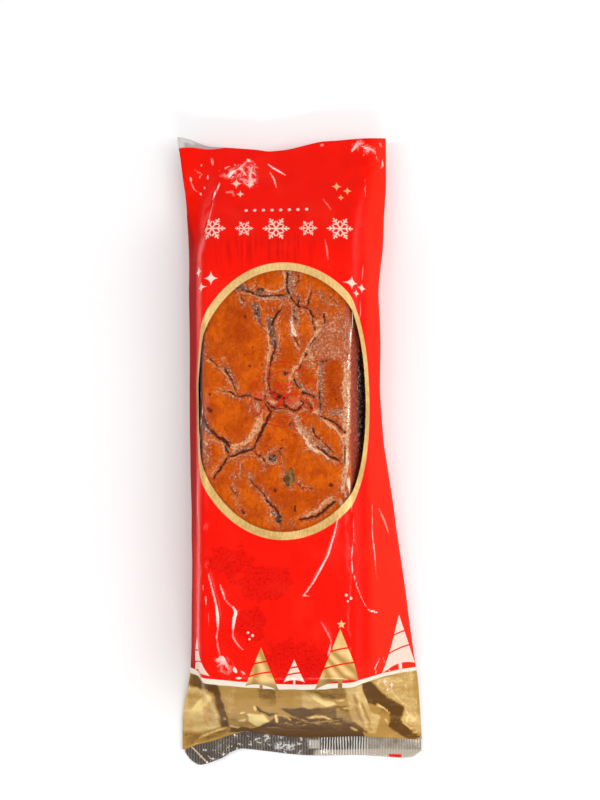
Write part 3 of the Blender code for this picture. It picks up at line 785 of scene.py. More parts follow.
def window_print():
    """Round the window: red, star sparkles, the gold ring with painted shade at its left, and clear film
    inside it, with painted highlights on ring and film.
    """
    made, s = new_finish("window_film")
    place, x, y = web_place(s)
    colour = red_field(s, place, x, y)
    stars = any_of(sparkle(x, y, *row) for row in WINDOW_SPARKLES)
    colour = stars.mix(colour, PRINT_CREAM)
    satin = noise(s, place.scaled(1.0, 0.35, 1.0), 0.7, 3.0, 0.7).span(0.35, 0.65, 0.0, 0.55)
    broad = noise(s, place, 0.03, 1.0).span(0.4, 0.6, 0.0, 0.4)
    bright = (satin + broad + y.span(60.0, 125.0, 0.0, 0.3)).lowest(1.0)
    # Painted highlights, gold on the ring and near white on the clear film.
    gleam = painted_highlight(s, place)
    ring_colour = layered(RING_GOLD, (
        (bright, RING_GOLD_PALE),
        # Painted shade on the ring's left.
        ((x * -1.0).span(61.0, 67.0) * 0.6, PRINT_GOLD_DARK),
        (gleam, GLEAM_GOLD),
    ))
    ring = inside(oval(x, y, OVAL_OUTER))
    colour = ring.mix(colour, ring_colour)
    window = inside(oval(x, y, OVAL_INNER))
    stamp_x = x - STAMP_AT[0]
    stamp_y = y - STAMP_AT[1]
    from_stamp = distance(s, stamp_x, stamp_y)
    wheel = s.maths("PINGPONG", s.maths("ARCTAN2", stamp_y, stamp_x), float(np.pi / 24))
    stamp = any_of((
        inside(snowflake(s, stamp_x / 11.0, stamp_y / 11.0, 1.0) * 9.0),
        inside(distance(s, from_stamp - 19.0, wheel * 19.0) - 0.9),
        inside(abs(from_stamp - 22.0) - 0.35),
        inside(abs(from_stamp - 15.5) - 0.3),
    ))
    stamp = stamp * noise(s, place, 0.25, 3.0, 0.6).span(0.36, 0.56) * 0.85
    colour = (window * stamp.span(0.0, 0.01)).mix(colour, STAMP_RED)
    colour = (window * gleam).mix(colour, GLEAM_WHITE)
    solid = printed(s, x, colour, film_bump(s, place), ring * 0.15 + 0.16, ring * 0.2 + 0.06)
    clear = s.node("BsdfTransparent", (), {"Color": (0.98, 0.97, 0.95)})
    gloss = s.node("BsdfGlossy", (), {"Color": (1.0, 1.0, 1.0), "Roughness": 0.10,
                                      "Normal": film_bump(s, place, 0.35)})
    ridge = inside(abs(x - 43.5) - 1.5, 1.5).highest(inside(abs(x + 56.0) - 2.0, 2.0))
    film = s.node("MixShader", (), {0: ridge * 0.03 + 0.003, 1: clear, 2: gloss})
    open_film = window * (1.0 - stamp) * (1.0 - gleam * 0.9)
    output(s, s.node("MixShader", (), {0: open_film, 1: solid, 2: film}))
    return made


def name_print():
    """The top panel: a row of snowflakes with small dots over it, and dull gold sparkles."""
    made, s = new_finish("top_film")
    place, x, y = web_place(s)
    colour = red_field(s, place, x, y)
    cell = s.maths("WRAP", x + 16.0, 22.0, 0.0) - 11.0
    odd = s.maths("PINGPONG", (x + 5.0) / 22.0, 1.0).span(0.45, 0.55)
    size = odd * -3.0 + 9.2
    flakes = inside(snowflake(s, cell / size, (y - 148.0) / size, 1.0) * 9.0) * inside(abs(x + 5.0) - 54.9)
    dots_x = s.maths("WRAP", x + 5.0, 6.0, 0.0) - 3.0
    dots = inside(distance(s, dots_x, y - 163.0) - 1.1) * inside(abs(x + 5.0) - 23.9)
    colour = flakes.highest(dots).mix(colour, PRINT_CREAM)
    glints = any_of(sparkle(x, y, *row) for row in TOP_GOLD_SPARKLES)
    colour = (glints * 0.75).mix(colour, PRINT_GOLD_PALE)
    stars = any_of(sparkle(x, y, *row) for row in TOP_SPARKLES)
    colour = (stars * 0.8).mix(colour, PRINT_CREAM)
    unprinted = inside((x + 77.0) * 0.17 + 210.0 - y, 0.4) * inside(x + 44.0, 2.0)
    bare = unprinted.mix(colour, BARE_FILM)
    solid = printed(s, x, bare, film_bump(s, place, 0.4))
    clear = s.node("BsdfTransparent", (), {"Color": (0.96, 0.96, 0.96)})
    output(s, s.node("MixShader", (), {0: unprinted * 0.45, 1: solid, 2: clear}))
    return made


def tree_shape(x, y, foot, size, hem_slant):
    """A tree as a cone with a drooping hem: its distance, and the place within it."""
    u = (x - foot[0]) / size[0]
    v = (y - foot[1]) / size[1]
    body = (abs(u) - (1.0 - v) * 0.5) * size[0] * 0.85
    hem = (0.12 - v - u * u * 0.4 + u * hem_slant) * size[1]
    return body.highest(hem), u, v


def gold_print():
    """The foot: gold ground painted lighter and darker where its folds catch or lose the light, under a
    white snow line, with a row of trees standing on it, the gold ones under a painted slanting sheen.
    """
    made, s = new_finish("foot_film")
    place, x, y = web_place(s)
    colour = red_field(s, place, x, y)
    snow = abs(x - SNOW_MIDDLE).span(0.0, SNOW_REACH, SNOW_Y, SNOW_Y + SNOW_RISE)
    line_half = x.span(20.0, 90.0, 1.9, 1.2)
    star_x = x - TREE_STAR_AT[0]
    star_y = y - TREE_STAR_AT[1]
    star_angle = s.maths("PINGPONG", s.maths("ARCTAN2", star_x, star_y), float(np.pi / 5))
    star_reach = distance(s, star_x, star_y)
    u = star_reach * s.maths("COSINE", star_angle)
    v = star_reach * s.maths("SINE", star_angle)
    colour = inside(v - (2.9 - u) * 0.42, 0.2).mix(colour, PRINT_GOLD_PALE)
    dots = any_of(inside(distance(s, x - at[0], y - at[1]) - size, 0.3) for at, size in FOOT_DOTS)
    colour = dots.mix(colour, PRINT_CREAM)

    # Painted light and shade over the foot's folds, from the noted tone with noise, with pale painted
    # highlights along fine crinkles at the right.
    tone = s.noted("tone") + (noise(s, place.scaled(0.35, 1.0, 1.0), 0.14, 3.0, 0.55) - 0.5) * 1.4
    tone = tone + (noise(s, place, 0.6, 3.0, 0.75) - 0.5) * 0.6
    veins = abs(noise(s, place, 0.16, 2.0, 0.6) - 0.5)
    tone = tone + inside(veins - 0.008, 0.006) * x.span(60.0, 72.0) * tone.span(0.0, 0.3) * 0.4
    busy = inside(abs(x - 19.0) - 22.0, 5.0) * inside(abs(y + 189.5) - 3.5, 2.5)
    tone = tone + busy * (noise(s, place.scaled(0.45, 1.0, 1.0), 0.42, 3.0, 0.65) - 0.5) * 3.6
    gold = layered(PRINT_GOLD, (
        (tone.span(0.0, 0.9), PRINT_GOLD_PALE),
        (tone.span(0.65, 1.0), PRINT_GOLD_HIGHLIGHT),
        ((tone * -1.0).span(0.05, 0.85), PRINT_GOLD_DARK),
        (any_of(sparkle(x, y, *row) for row in FOOT_SPARKLES), PRINT_CREAM),
    ))
    ground = inside(y - snow)
    colour = ground.mix(colour, gold)
    line = inside(abs(y - snow) - line_half)
    colour = line.mix(colour, SNOW_CREAM)
    # Painted sheen slanting over the gold trees.
    slant = noise(s, place, 0.035, 0.0) * 22.0 + (x + y) * 0.45
    sheen = s.maths("SINE", slant) * 0.5 + 0.5
    for foot, size, ink, bands, hem_slant in TREES:
        shape, u, v = tree_shape(x, y, foot, size, hem_slant)
        body = inside(shape)
        for band in bands:
            bow = (1.0 - u * u * 3.0) * 0.06 + u * 0.16
            body = body * (1.0 - inside(abs(v - band - bow) * size[1] - 0.55))
        trunk = inside((abs(x - foot[0]) - size[0] * 0.045).highest(y - foot[1] - size[1] * 0.12))
        trunk = trunk * inside(snow - y - line_half)
        tint = sheen.mix(PRINT_GOLD, RING_GOLD_PALE)
        tint = ((0.24 - v).span(0.0, 0.14) * 0.6).mix(tint, PRINT_GOLD_DARK)
        tint = PRINT_CREAM if ink is PRINT_CREAM else tint
        colour = body.highest(trunk).mix(colour, tint)
    metal = ground * (1.0 - line)
    output(s, printed(s, x, colour, film_bump(s, place, 0.4), metal * 0.12 + 0.16, metal * 0.40 + 0.06))
    return made


for finish in (plain_red(), window_print(), name_print(), gold_print()):
    bag.data.materials.append(finish)
corner_uv = np.zeros(len(bag.data.loops) * 2)
bag.data.uv_layers["web"].data.foreach_get("uv", corner_uv)
first_corner = np.zeros(len(bag.data.polygons), int)
bag.data.polygons.foreach_get("loop_start", first_corner)
face_across, face_along = (corner_uv.reshape(-1, 2)[first_corner] / MM).T
off_middle = np.abs(face_across)
kind = np.zeros(len(face_along), int)
beside_window = (face_along > WINDOW_FACES_Y[0]) & (face_along < WINDOW_FACES_Y[1])
kind[beside_window & (off_middle < WINDOW_FACES_REACH)] = 1
kind[(face_along >= WINDOW_FACES_Y[1]) & (off_middle < TOP_FACES_REACH)] = 2
kind[face_along < FOOT_FACES_Y] = 3
bag.data.polygons.foreach_set("material_index", kind)
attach(bag, "root")
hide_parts("bread_pack")

# The loaf: one baked, fruited yeast bread, glazed orange-brown on top and dark at the sides.
# Its crust has torn into islands, each tear a dark crevice with a flank of pale crumb.
LOAF_CORNERS = ((-60, 1.6), (-70, 7), (-69, 36), (-64, 57.2), (34.6, 57.2), (43.5, 38), (50.5, 8),
                (43, 1.6))
LOAF_R = (5.0, 9.0, 14.0, 5.0, 5.0, 14.0, 8.0, 5.0)
LOAF_RUNS = (3, 6, 7, 160, 8, 8, 3, 14)
LOAF_ARC = 6
LOAF_Y = (-155.0, 134.0)
LOAF_END = 16.0
FINE_Y = (-63.0, 121.0)
TEAR_WARP = 0.6
CRUST_Z = 57.0
WAIST_Z = 20.0
SHOULDER_Z = 50.0

# Crevices between the islands of crust: half width, and path in the photo.
CREVICES = (
    (0.6, ((241, 289), (247, 290.5), (254, 293), (262, 295.5), (268, 296), (275, 294.5),
      (283, 295), (288, 293))),
    (0.65, ((202, 338), (202, 347), (201, 354))),
    (0.55, ((206, 356), (210, 359), (214, 363), (219, 366), (224, 367.5), (226, 371), (229, 377),
      (233, 382), (235, 389))),
    (0.45, ((224, 390), (231, 392), (236, 396), (243, 396), (249, 395), (254, 397), (261, 400),
      (266, 399))),
    (0.8, ((281, 309), (278, 312), (275, 318), (272, 326))),
    (0.6, ((275, 338), (275, 346), (273, 354), (271, 362), (269, 371), (268, 380), (269, 386),
      (272, 393))),
    (1.5, ((271, 392), (278, 396), (287, 397.5))),
    (0.4, ((241, 297), (244, 301))),
    (0.35, ((259, 320), (263, 325), (266, 326))),
    (0.8, ((287, 272), (287, 279), (287, 287), (290, 294))),
    (0.4, ((299, 274), (298, 280), (294, 287))),
    (0.9, ((290, 295), (295, 303), (301, 307))),
    (0.65, ((298, 296), (299, 301), (298, 305), (303, 307), (308, 309), (311, 313), (316, 318.5))),
    (0.45, ((311, 290), (310, 296), (308, 302), (308, 307), (311, 312))),
    (0.6, ((324, 314), (325, 320), (325, 323))),
    (0.35, ((330, 297), (334, 300), (337, 303))),
    (0.4, ((312, 316), (313, 323), (314.5, 330))),
    (0.45, ((294, 306), (294, 314), (296, 321))),
    (0.4, ((293, 336), (296, 341), (298.5, 345))),
    (0.4, ((316, 337), (313, 341), (310, 346))),
    (0.75, ((306, 353), (305, 357))),
    (0.35, ((303, 361), (299, 368), (296, 371))),
    (0.35, ((315, 360), (322, 362), (328, 360))),
    (0.4, ((319, 391), (320, 400), (320, 410))),
    (0.6, ((295, 378), (296, 384), (300, 389))),
    (0.65, ((301, 392), (306, 393), (311, 395), (315, 398))),
    (0.75, ((283, 373), (287, 374))),
    (0.55, ((263, 400), (267, 407), (270, 411))),
    (0.35, ((270, 411), (276, 409), (282, 408))),
    (0.6, ((281, 404), (286, 405), (290, 409))),
    (1.35, ((201, 412), (205, 422), (211, 431), (218, 437), (226, 441), (230, 447))),
    (0.65, ((225, 446), (228, 452), (229, 457))),
    (0.8, ((229, 457), (234, 455), (240, 453), (246, 451), (253, 449))),
    (1, ((253, 449), (256, 443), (260, 435), (264, 425), (268, 418), (271, 411))),
    (0.8, ((228, 457), (224, 463), (220, 469), (215, 475), (213, 479))),
    (0.4, ((253, 451), (257, 454))),
    (0.45, ((258, 453), (263, 459), (264.5, 461.5))),
    (0.35, ((231, 487), (234, 492), (238, 495))),
    (0.55, ((241, 510), (244, 514))),
    (0.55, ((250, 480), (254, 485), (259, 489), (263, 494), (267, 500), (272, 505), (276, 509),
      (279, 514), (280.5, 520), (281, 527))),
    (0.6, ((280, 448), (283, 447.5))),
    (0.9, ((290, 423), (293, 425))),
    (0.9, ((316, 446), (321, 449), (325, 453), (330, 456.5), (335, 458), (340, 461.5))),
    (0.4, ((312, 427), (314, 433), (319, 439), (325, 444), (330, 449), (333, 452))),
    (0.6, ((306, 402), (310, 407), (313, 410))),
    (0.65, ((318, 415), (324, 417), (331, 420), (337, 425), (342, 430), (347, 434))),
    (0.8, ((298, 520), (307, 518), (316, 516), (322, 512), (328, 507), (336, 501))),
    (0.55, ((298, 484), (303, 488))),
    (0.25, ((304, 488), (312, 488))),
    (0.35, ((345, 443), (344.5, 455), (345, 466))),
    (0.6, ((266, 398), (269, 405), (275, 408), (279.5, 404.5), (278.5, 399.5), (272.5, 397.5))),
    (0.6, ((284.5, 398), (284, 404.5), (289.5, 409), (298, 410), (303, 403.5), (299.5, 398))),
    (0.5, ((253, 397.5), (258.5, 400), (264.5, 398.5), (266, 394))),
    (0.4, ((278, 449), (281, 455))),
)
# Dark flecks where fruit has scorched: half width, and path in the photo.
SCORCHES = (
    (0.75, ((245, 316), (245, 318))),
    (0.65, ((249, 366), (250, 366))),
    (0.6, ((262, 365), (262.5, 364))),
    (0.6, ((243, 379), (243.5, 378.5))),
    (0.55, ((263, 302), (263.5, 302))),
    (1, ((208.5, 393.5), (209.5, 394.5))),
    (1.5, ((208, 409), (211, 411))),
    (0.6, ((270, 438), (270.5, 438))),
    (1.15, ((275.5, 489), (276, 491))),
    (1.2, ((330.5, 484.5), (331.5, 485.5))),
    (0.65, ((335, 399), (336, 399))),
    (0.55, ((281, 440), (282, 440))),
    (0.6, ((284, 336), (284.5, 336.5))),
    (0.45, ((253, 347), (253.5, 347))),
    (0.45, ((216, 368), (216.5, 368))),
    (0.8, ((295, 506), (295, 511))),
    (0.65, ((348, 353), (348, 355))),
)
# Torn crumb showing beside and between the islands: half width, tone from 0 floury white through
# pale orange and brown to 1 grey, and path in the photo.
CRUMBS = (
    (1.75, 0.9, ((237, 285), (241, 287), (246, 289))),
    (0.45, 0.3, ((243, 283), (246, 287.5), (252, 288), (255, 285))),
    (0.8, 0.35, ((266, 289.5), (272, 291.5), (280, 290), (285, 286))),
    (0.55, 0.3, ((243, 292), (250, 294), (257, 297), (266, 299), (275, 299), (284, 298))),
    (1.7, 0.6, ((256, 293), (264, 295.5), (275, 296.5), (288, 296))),
    (0.4, 0.3, ((205, 343), (203.5, 350), (206, 354.5))),
    (0.75, 0.6, ((201, 356), (204, 357))),
    (0.4, 0.35, ((200, 359.5), (210, 361), (217, 367), (223, 371), (227, 378), (231, 384),
      (234, 391), (236, 396))),
    (0.95, 0.85, ((226, 366), (229, 373), (233, 379), (236, 387))),
    (0.35, 0.3, ((223, 358), (223, 363))),
    (0.4, 0.3, ((216, 391), (224, 392.5), (230, 394), (236, 398), (240, 398.5))),
    (0.35, 0.3, ((222, 389), (230, 390), (236, 394.5))),
    (0.35, 0.3, ((237, 385), (238, 389))),
    (2.15, 0.95, ((270, 319), (271, 326), (272, 333), (274, 340), (275, 346))),
    (0.4, 0.3, ((270, 298), (270, 306), (273, 312))),
    (0.6, 0.3, ((266, 325), (268, 332), (269, 341), (270, 349), (268, 358), (266, 368), (266, 380),
      (266, 389))),
    (0.85, 0.35, ((269, 343), (270.5, 352), (269, 360))),
    (0.6, 0.45, ((283, 302), (280, 307))),
    (0.4, 0.35, ((279, 317), (277, 324), (278, 332), (279, 340), (278, 352), (275, 360))),
    (0.35, 0.4, ((235, 287), (238, 293), (241, 300), (245, 305))),
    (1.6, 0.9, ((254, 304), (257, 309), (257, 314), (259, 319))),
    (0.35, 0.3, ((251, 301), (255, 306))),
    (0.35, 0.35, ((259, 303), (261, 309), (260, 315))),
    (0.35, 0.4, ((254, 315), (257, 320), (262, 325), (266, 330))),
    (1, 0.5, ((263, 393), (266, 395), (270, 395))),
    (0.9, 0.3, ((284, 272), (285, 279), (284, 286), (279, 290))),
    (2.4, 0.68, ((290, 273), (289, 281), (289, 289), (291, 297))),
    (2.3, 0.6, ((293, 277), (293, 283))),
    (0.35, 0.35, ((297, 276), (296, 283), (292, 289))),
    (0.35, 0.35, ((293, 290), (298, 296), (300, 303), (306, 305))),
    (0.4, 0.3, ((286, 298), (290, 303), (292, 312), (290, 322), (289, 329), (292, 337), (296, 344),
      (300, 351))),
    (1.45, 0.0, ((291, 322), (293, 329), (295, 335))),
    (2.1, 0.62, ((294, 306), (295, 314), (296, 321))),
    (0.4, 0.3, ((306, 311), (300, 315), (298, 322), (297, 330), (299, 337), (300, 344))),
    (0.4, 0.4, ((300, 311), (308, 311), (311, 316), (312, 323), (314, 331))),
    (0.4, 0.3, ((310, 286), (309, 293), (307, 299), (306, 305))),
    (1.00, 0.35, ((316, 321), (317, 325), (321, 325))),
    (0.35, 0.3, ((310, 311), (313, 318), (317, 321), (323, 320))),
    (1.1, 0.75, ((319, 293), (324, 296))),
    (0.55, 0.5, ((328, 304), (337, 305))),
    (0.4, 0.55, ((321, 300), (327, 302))),
    (0.35, 0.35, ((326, 312), (328, 317))),
    (0.4, 0.5, ((315, 309), (320, 313), (324, 313))),
    (1.00, 0.26, ((322, 327), (316, 334), (311, 342), (306, 350), (302, 358), (298, 365))),
    (0.95, 0.3, ((298, 365), (293, 370), (291, 377), (290, 386), (289, 392))),
    (1.4, 0.5, ((311, 345), (309, 352), (312, 357), (305, 360))),
    (0.4, 0.3, ((303, 364), (312, 366), (317, 372), (318, 382), (316, 391))),
    (0.9, 0.35, ((309, 360), (315, 364))),
    (1.35, 0.75, ((321, 364), (321, 376), (321, 390), (322, 402), (321, 411))),
    (0.55, 0.4, ((318, 366), (317.5, 378), (317, 390))),
    (1.5, 0.65, ((296, 380), (302, 388), (311, 393), (315, 396))),
    (0.8, 0.4, ((296, 372), (297, 376))),
    (2.4, 0.4, ((347, 362), (347, 380), (347, 400), (346, 420), (347, 431.5))),
    (0.6, 0.0, ((351.5, 322), (350.5, 332), (350, 345), (350, 358))),
    (1.9, 0.4, ((346.5, 435.5), (345.5, 449.5), (346, 464.5), (344, 477.5), (342, 491))),
    (0.35, 0.1, ((348, 437), (347, 455), (346, 480))),
    (1.7, 0.6, ((330, 413), (340, 412), (345, 424))),
    (1.1, 0.34, ((314, 411), (321, 416), (330, 424), (337, 430), (342, 437), (345, 446))),
    (1.9, 0.34, ((262, 414), (259, 424), (254, 433), (247, 441), (240, 445), (232, 446))),
    (1.8, 0.48, ((256, 404), (258, 411))),
    (0.4, 0.3, ((249, 400), (251, 406), (250, 412))),
    (1.9, 0.95, ((203, 419), (204, 428), (209, 433))),
    (0.4, 0.3, ((203, 414), (209, 426), (216, 435), (224, 439), (229, 443))),
    (0.45, 0.3, ((202, 440), (209, 438.5), (218, 441.5), (224, 444.5), (224.5, 452), (222, 460),
      (217, 467), (211, 474))),
    (1, 0.25, ((204, 441), (206, 444))),
    (0.95, 0.6, ((205, 447), (206, 455), (207, 462))),
    (0.35, 0.35, ((208, 445), (209, 455), (208.5, 465))),
    (0.4, 0.3, ((226, 462), (232, 458.5), (240, 455.5), (250, 455), (256, 455.5), (262, 460),
      (266, 466), (263, 470))),
    (0.35, 0.5, ((231, 458), (236, 461), (239, 459))),
    (0.6, 0.0, ((229.5, 453.5), (231, 454.5))),
    (1, 0.7, ((226, 447), (228, 451))),
    (1, 0.65, ((234, 452), (245, 449), (251, 447))),
    (0.35, 0.25, ((241, 462), (240, 470), (239, 477))),
    (0.4, 0.4, ((231, 476), (233, 474.5), (235.5, 477), (234, 479))),
    (0.35, 0.35, ((233, 489), (235, 496), (238, 502), (239, 508), (243, 513))),
    (0.8, 0.6, ((232, 486), (236, 492))),
    (0.8, 0.55, ((250, 474), (252, 479))),
    (0.4, 0.28, ((248, 474), (251, 483), (257, 489), (262, 496), (267, 503), (270, 508))),
    (0.45, 0.6, ((261, 488), (265, 494), (270, 501))),
    (1.75, 0.85, ((272, 512), (277, 515))),
    (0.4, 0.3, ((270, 520), (276, 521), (279, 527))),
    (0.95, 0.4, ((272, 510), (270, 516))),
    (1.15, 0.12, ((297, 428), (303, 436), (308, 443), (312, 448), (322, 453), (328, 458))),
    (1.95, 0.52, ((296, 417), (300, 427), (306, 434), (311, 441), (315, 446))),
    (0.8, 0.2, ((292, 415), (296, 418), (298, 424))),
    (0.35, 0.2, ((304, 450), (311, 448.5))),
    (0.4, 0.35, ((328, 458), (333, 462), (339, 463))),
    (1.1, 0.7, ((318, 444), (324, 449), (330, 452))),
    (0.35, 0.3, ((311, 427), (313, 434), (318, 440), (324, 445))),
    (0.55, 0.3, ((305, 398), (310, 399), (313, 403), (314, 409))),
    (0.6, 0.35, ((301, 403), (304, 409), (309, 411))),
    (1.15, 0.45, ((303, 517), (310, 514), (318, 509), (325, 502), (331, 499))),
    (0.35, 0.5, ((293, 520), (292, 527))),
    (0.4, 0.4, ((298, 483), (300, 480))),
    (0.8, 0.5, ((268, 452), (267, 459), (270, 464), (277, 463))),
    (0.4, 0.35, ((271, 450), (278, 448), (281, 455), (281, 462))),
    (0.35, 0.3, ((283, 464), (282, 475), (285, 484), (292, 488))),
    (1.1, 0.4, ((268, 400), (274, 404), (279, 402))),
    (1.2, 0.5, ((286, 403), (292, 407), (297, 403))),
    (0.45, 0.35, ((272, 410), (282, 410), (290, 412), (296, 414), (303, 410))),
)
# Where the glare of the film over the crust is painted on it, as corners in the photo.
GLARE_PATCH = ((322, 326), (333, 316), (343, 311), (350, 322), (349, 345), (345, 358), (332, 358), (312, 356),
        (308, 350))
# The small torn islands at the middle, which are pinker: start, end, half width.
KNOT = (((-28.0, 31.5), (-21.5, 33.0), 2.6), ((-18.5, 27.5), (-14.5, 27.3), 3.2),
        ((-6.0, 27.4), (0.0, 26.4), 3.8))
# Stretches where the glaze is drawn darker.
SHADOW = ((22, 50), (26, 24))
STREAKS = ((-42, 92), (-46, 62))

GLAZE = (0.68, 0.112, 0.0006)
GLAZE_DEEP = (0.43, 0.045, 0.0006)
GLAZE_DARKENED = (0.34, 0.038, 0.0010)
GLAZE_DARK_FLECK = (0.32, 0.026, 0.0006)
GLAZE_PALE_FLECK = (0.80, 0.23, 0.015)
PORE = (0.16, 0.014, 0.002)
BROWNED = (0.27, 0.050, 0.026)
DUSTED = (0.80, 0.40, 0.22)
WORN = (0.42, 0.100, 0.030)
BLUSH = (0.66, 0.105, 0.048)
GLARE_BROWN = (0.33, 0.095, 0.042)
GLARE_DOT = (0.78, 0.44, 0.31)
CRUMB_FLOURY = (0.92, 0.70, 0.54)
CRUMB_ORANGE = (0.78, 0.35, 0.155)
CRUMB_BROWN = (0.40, 0.15, 0.085)
CRUMB_GREY = (0.19, 0.095, 0.070)
CRUMB_SHADED = (0.28, 0.075, 0.035)
CRUMB_PIT = (0.20, 0.045, 0.018)
CRUMB_GRAIN = (0.90, 0.64, 0.48)
TEAR_SHADE = (0.15, 0.035, 0.015)
SCORCHED = (0.10, 0.010, 0.004)
SPLIT_SHADE = (0.060, 0.016, 0.008)
SIDE_BLACK = (0.014, 0.005, 0.004)
SIDE_BROWN = (0.085, 0.024, 0.018)
SIDE_REFLECTED_RED = (0.24, 0.028, 0.018)
SIDE_REFLECTED_PINK = (0.50, 0.10, 0.06)
SIDE_END_REFLECTED_RED = (0.62, 0.085, 0.05)
SIDE_GLINT = (0.75, 0.68, 0.62)


def on_crust(path):
    """A path in the photo's pixels, as places (X, Y) on the top of the loaf."""
    pixels = np.array(path, float)
    rays = (ahead + np.outer(pixels[:, 0] - PHOTO_MIDDLE[0], rightward) / PIXEL_REACH
            - np.outer(pixels[:, 1] - PHOTO_MIDDLE[1], upward) / PIXEL_REACH)
    reach = (CRUST_Z - VIEW_FROM[2]) / rays[:, 2]
    return (VIEW_FROM + rays * reach[:, None])[:, :2]


loaf_rows = np.concatenate((np.arange(LOAF_Y[0], FINE_Y[0], 3.0), np.arange(*FINE_Y, 0.56),
                            np.arange(FINE_Y[1], LOAF_Y[1] + 0.01, 2.0)))
loaf_ring = rounded([np.array(c, float) for c in LOAF_CORNERS], LOAF_R, LOAF_RUNS, LOAF_ARC)
middle = loaf_ring.mean(axis=0)
from_end = np.clip(np.minimum(loaf_rows - LOAF_Y[0], LOAF_Y[1] - loaf_rows) / LOAF_END, 0, 1)
drawn_in = LOAF_END * (1 - np.sqrt(1 - (1 - from_end) ** 2))
loaf_points = np.zeros((len(loaf_rows), len(loaf_ring), 3))
reach = np.abs(loaf_ring - middle).max(axis=0)
for row, y, inset in zip(loaf_points, loaf_rows, drawn_in):
    scale = 1 - inset / reach
    row[:, 0] = middle[0] + (loaf_ring[:, 0] - middle[0]) * scale[0]
    row[:, 1] = y
    over_waist = np.maximum(loaf_ring[:, 1] - WAIST_Z, 0)
    row[:, 2] = loaf_ring[:, 1] - over_waist * inset / (CRUST_Z + 1 - WAIST_Z)
loaf_x = loaf_points[..., 0]
loaf_y = loaf_points[..., 1]
warp_x = loaf_x + TEAR_WARP * patchy(loaf_x, loaf_y, 3.0, 21) + 0.2 * patchy(loaf_x, loaf_y, 1.3, 22)
warp_y = loaf_y + TEAR_WARP * patchy(loaf_x, loaf_y, 3.0, 23) + 0.2 * patchy(loaf_x, loaf_y, 1.3, 24)
vary = 1 + 0.35 * patchy(loaf_x, loaf_y, 4.0, 25) + 0.4 * patchy(loaf_x, loaf_y, 1.7, 30)
crevice = np.full(loaf_x.shape, -4.0)
crumb = np.full(loaf_x.shape, -4.0)
scorch = np.full(loaf_x.shape, -4.0)
crumb_tone = np.zeros(loaf_x.shape)
sink = np.zeros(loaf_x.shape)
for half, path in CREVICES:
    away, passed = from_path(warp_x, warp_y, on_crust(path))
    taper = np.clip(np.minimum(passed, 1 - passed) * 6 + 0.4, 0, 1)
    crevice = np.maximum(crevice, 0.88 * half * vary * taper - away)
    sink = np.maximum(sink, (0.4 + 1.1 * half) * taper * np.clip(1 - away / (half + 1.0), 0, 1) ** 1.3)
for half, path in SCORCHES:
    away, _ = from_path(warp_x, warp_y, on_crust(path))
    scorch = np.maximum(scorch, half - away)
for half, value, path in CRUMBS:
    away, _ = from_path(warp_x, warp_y, on_crust(path))
    inner = half * vary - away
    crumb_tone = np.where(inner > crumb, value, crumb_tone)
    crumb = np.maximum(crumb, inner)
    sink = np.maximum(sink, 0.8 * np.clip(1 - away / (half + 0.7), 0, 1))
on_top = np.clip((loaf_points[..., 2] - SHOULDER_Z) / 5, 0, 1)
dome = -0.8 * np.exp(np.minimum(np.maximum(crevice, crumb), 0) / 3.0)
rough = (0.3 * patchy(loaf_x, loaf_y, 11.0, 26) + 0.14 * patchy(loaf_x, loaf_y, 2.2, 27)
         + (crumb > 0) * 0.25 * patchy(loaf_x, loaf_y, 1.3, 28))
loaf_points[..., 2] += on_top * (dome + rough - sink - 0.4)
side_rough = (1 - on_top) * np.clip(loaf_points[..., 2] / 8, 0, 1)
loaf_points[..., 0] -= np.sign(loaf_x - middle[0]) * side_rough * (
    0.6 + 0.6 * patchy(loaf_y, loaf_points[..., 2], 5.0, 29))

loaf = skin("baked_loaf", loaf_points)
note(loaf, "crevice", crevice)
note(loaf, "crumb", crumb)
note(loaf, "crumb_tone", crumb_tone)
note(loaf, "scorch", scorch)
glare = np.clip(within(warp_x, warp_y, on_crust(GLARE_PATCH)) / 4.0 + 0.7, 0, 1)
note(loaf, "glare", glare)
blush = np.zeros(loaf_x.shape)
for start, end, half in KNOT:
    away, _ = from_path(warp_x, warp_y, (start, end))
    blush = np.maximum(blush, np.clip((half + 0.8 - away) / 1.6, 0, 1))
note(loaf, "blush", blush)
from_shadow, _ = from_path(loaf_x, loaf_y, SHADOW)
from_streaks, _ = from_path(loaf_x, loaf_y, STREAKS)
glaze_darkening = np.maximum(0.8 * np.clip((11 - from_shadow) / 9, 0, 1),
                  0.5 * np.clip((11 - from_streaks) / 8, 0, 1))
note(loaf, "glaze_darkening", glaze_darkening)


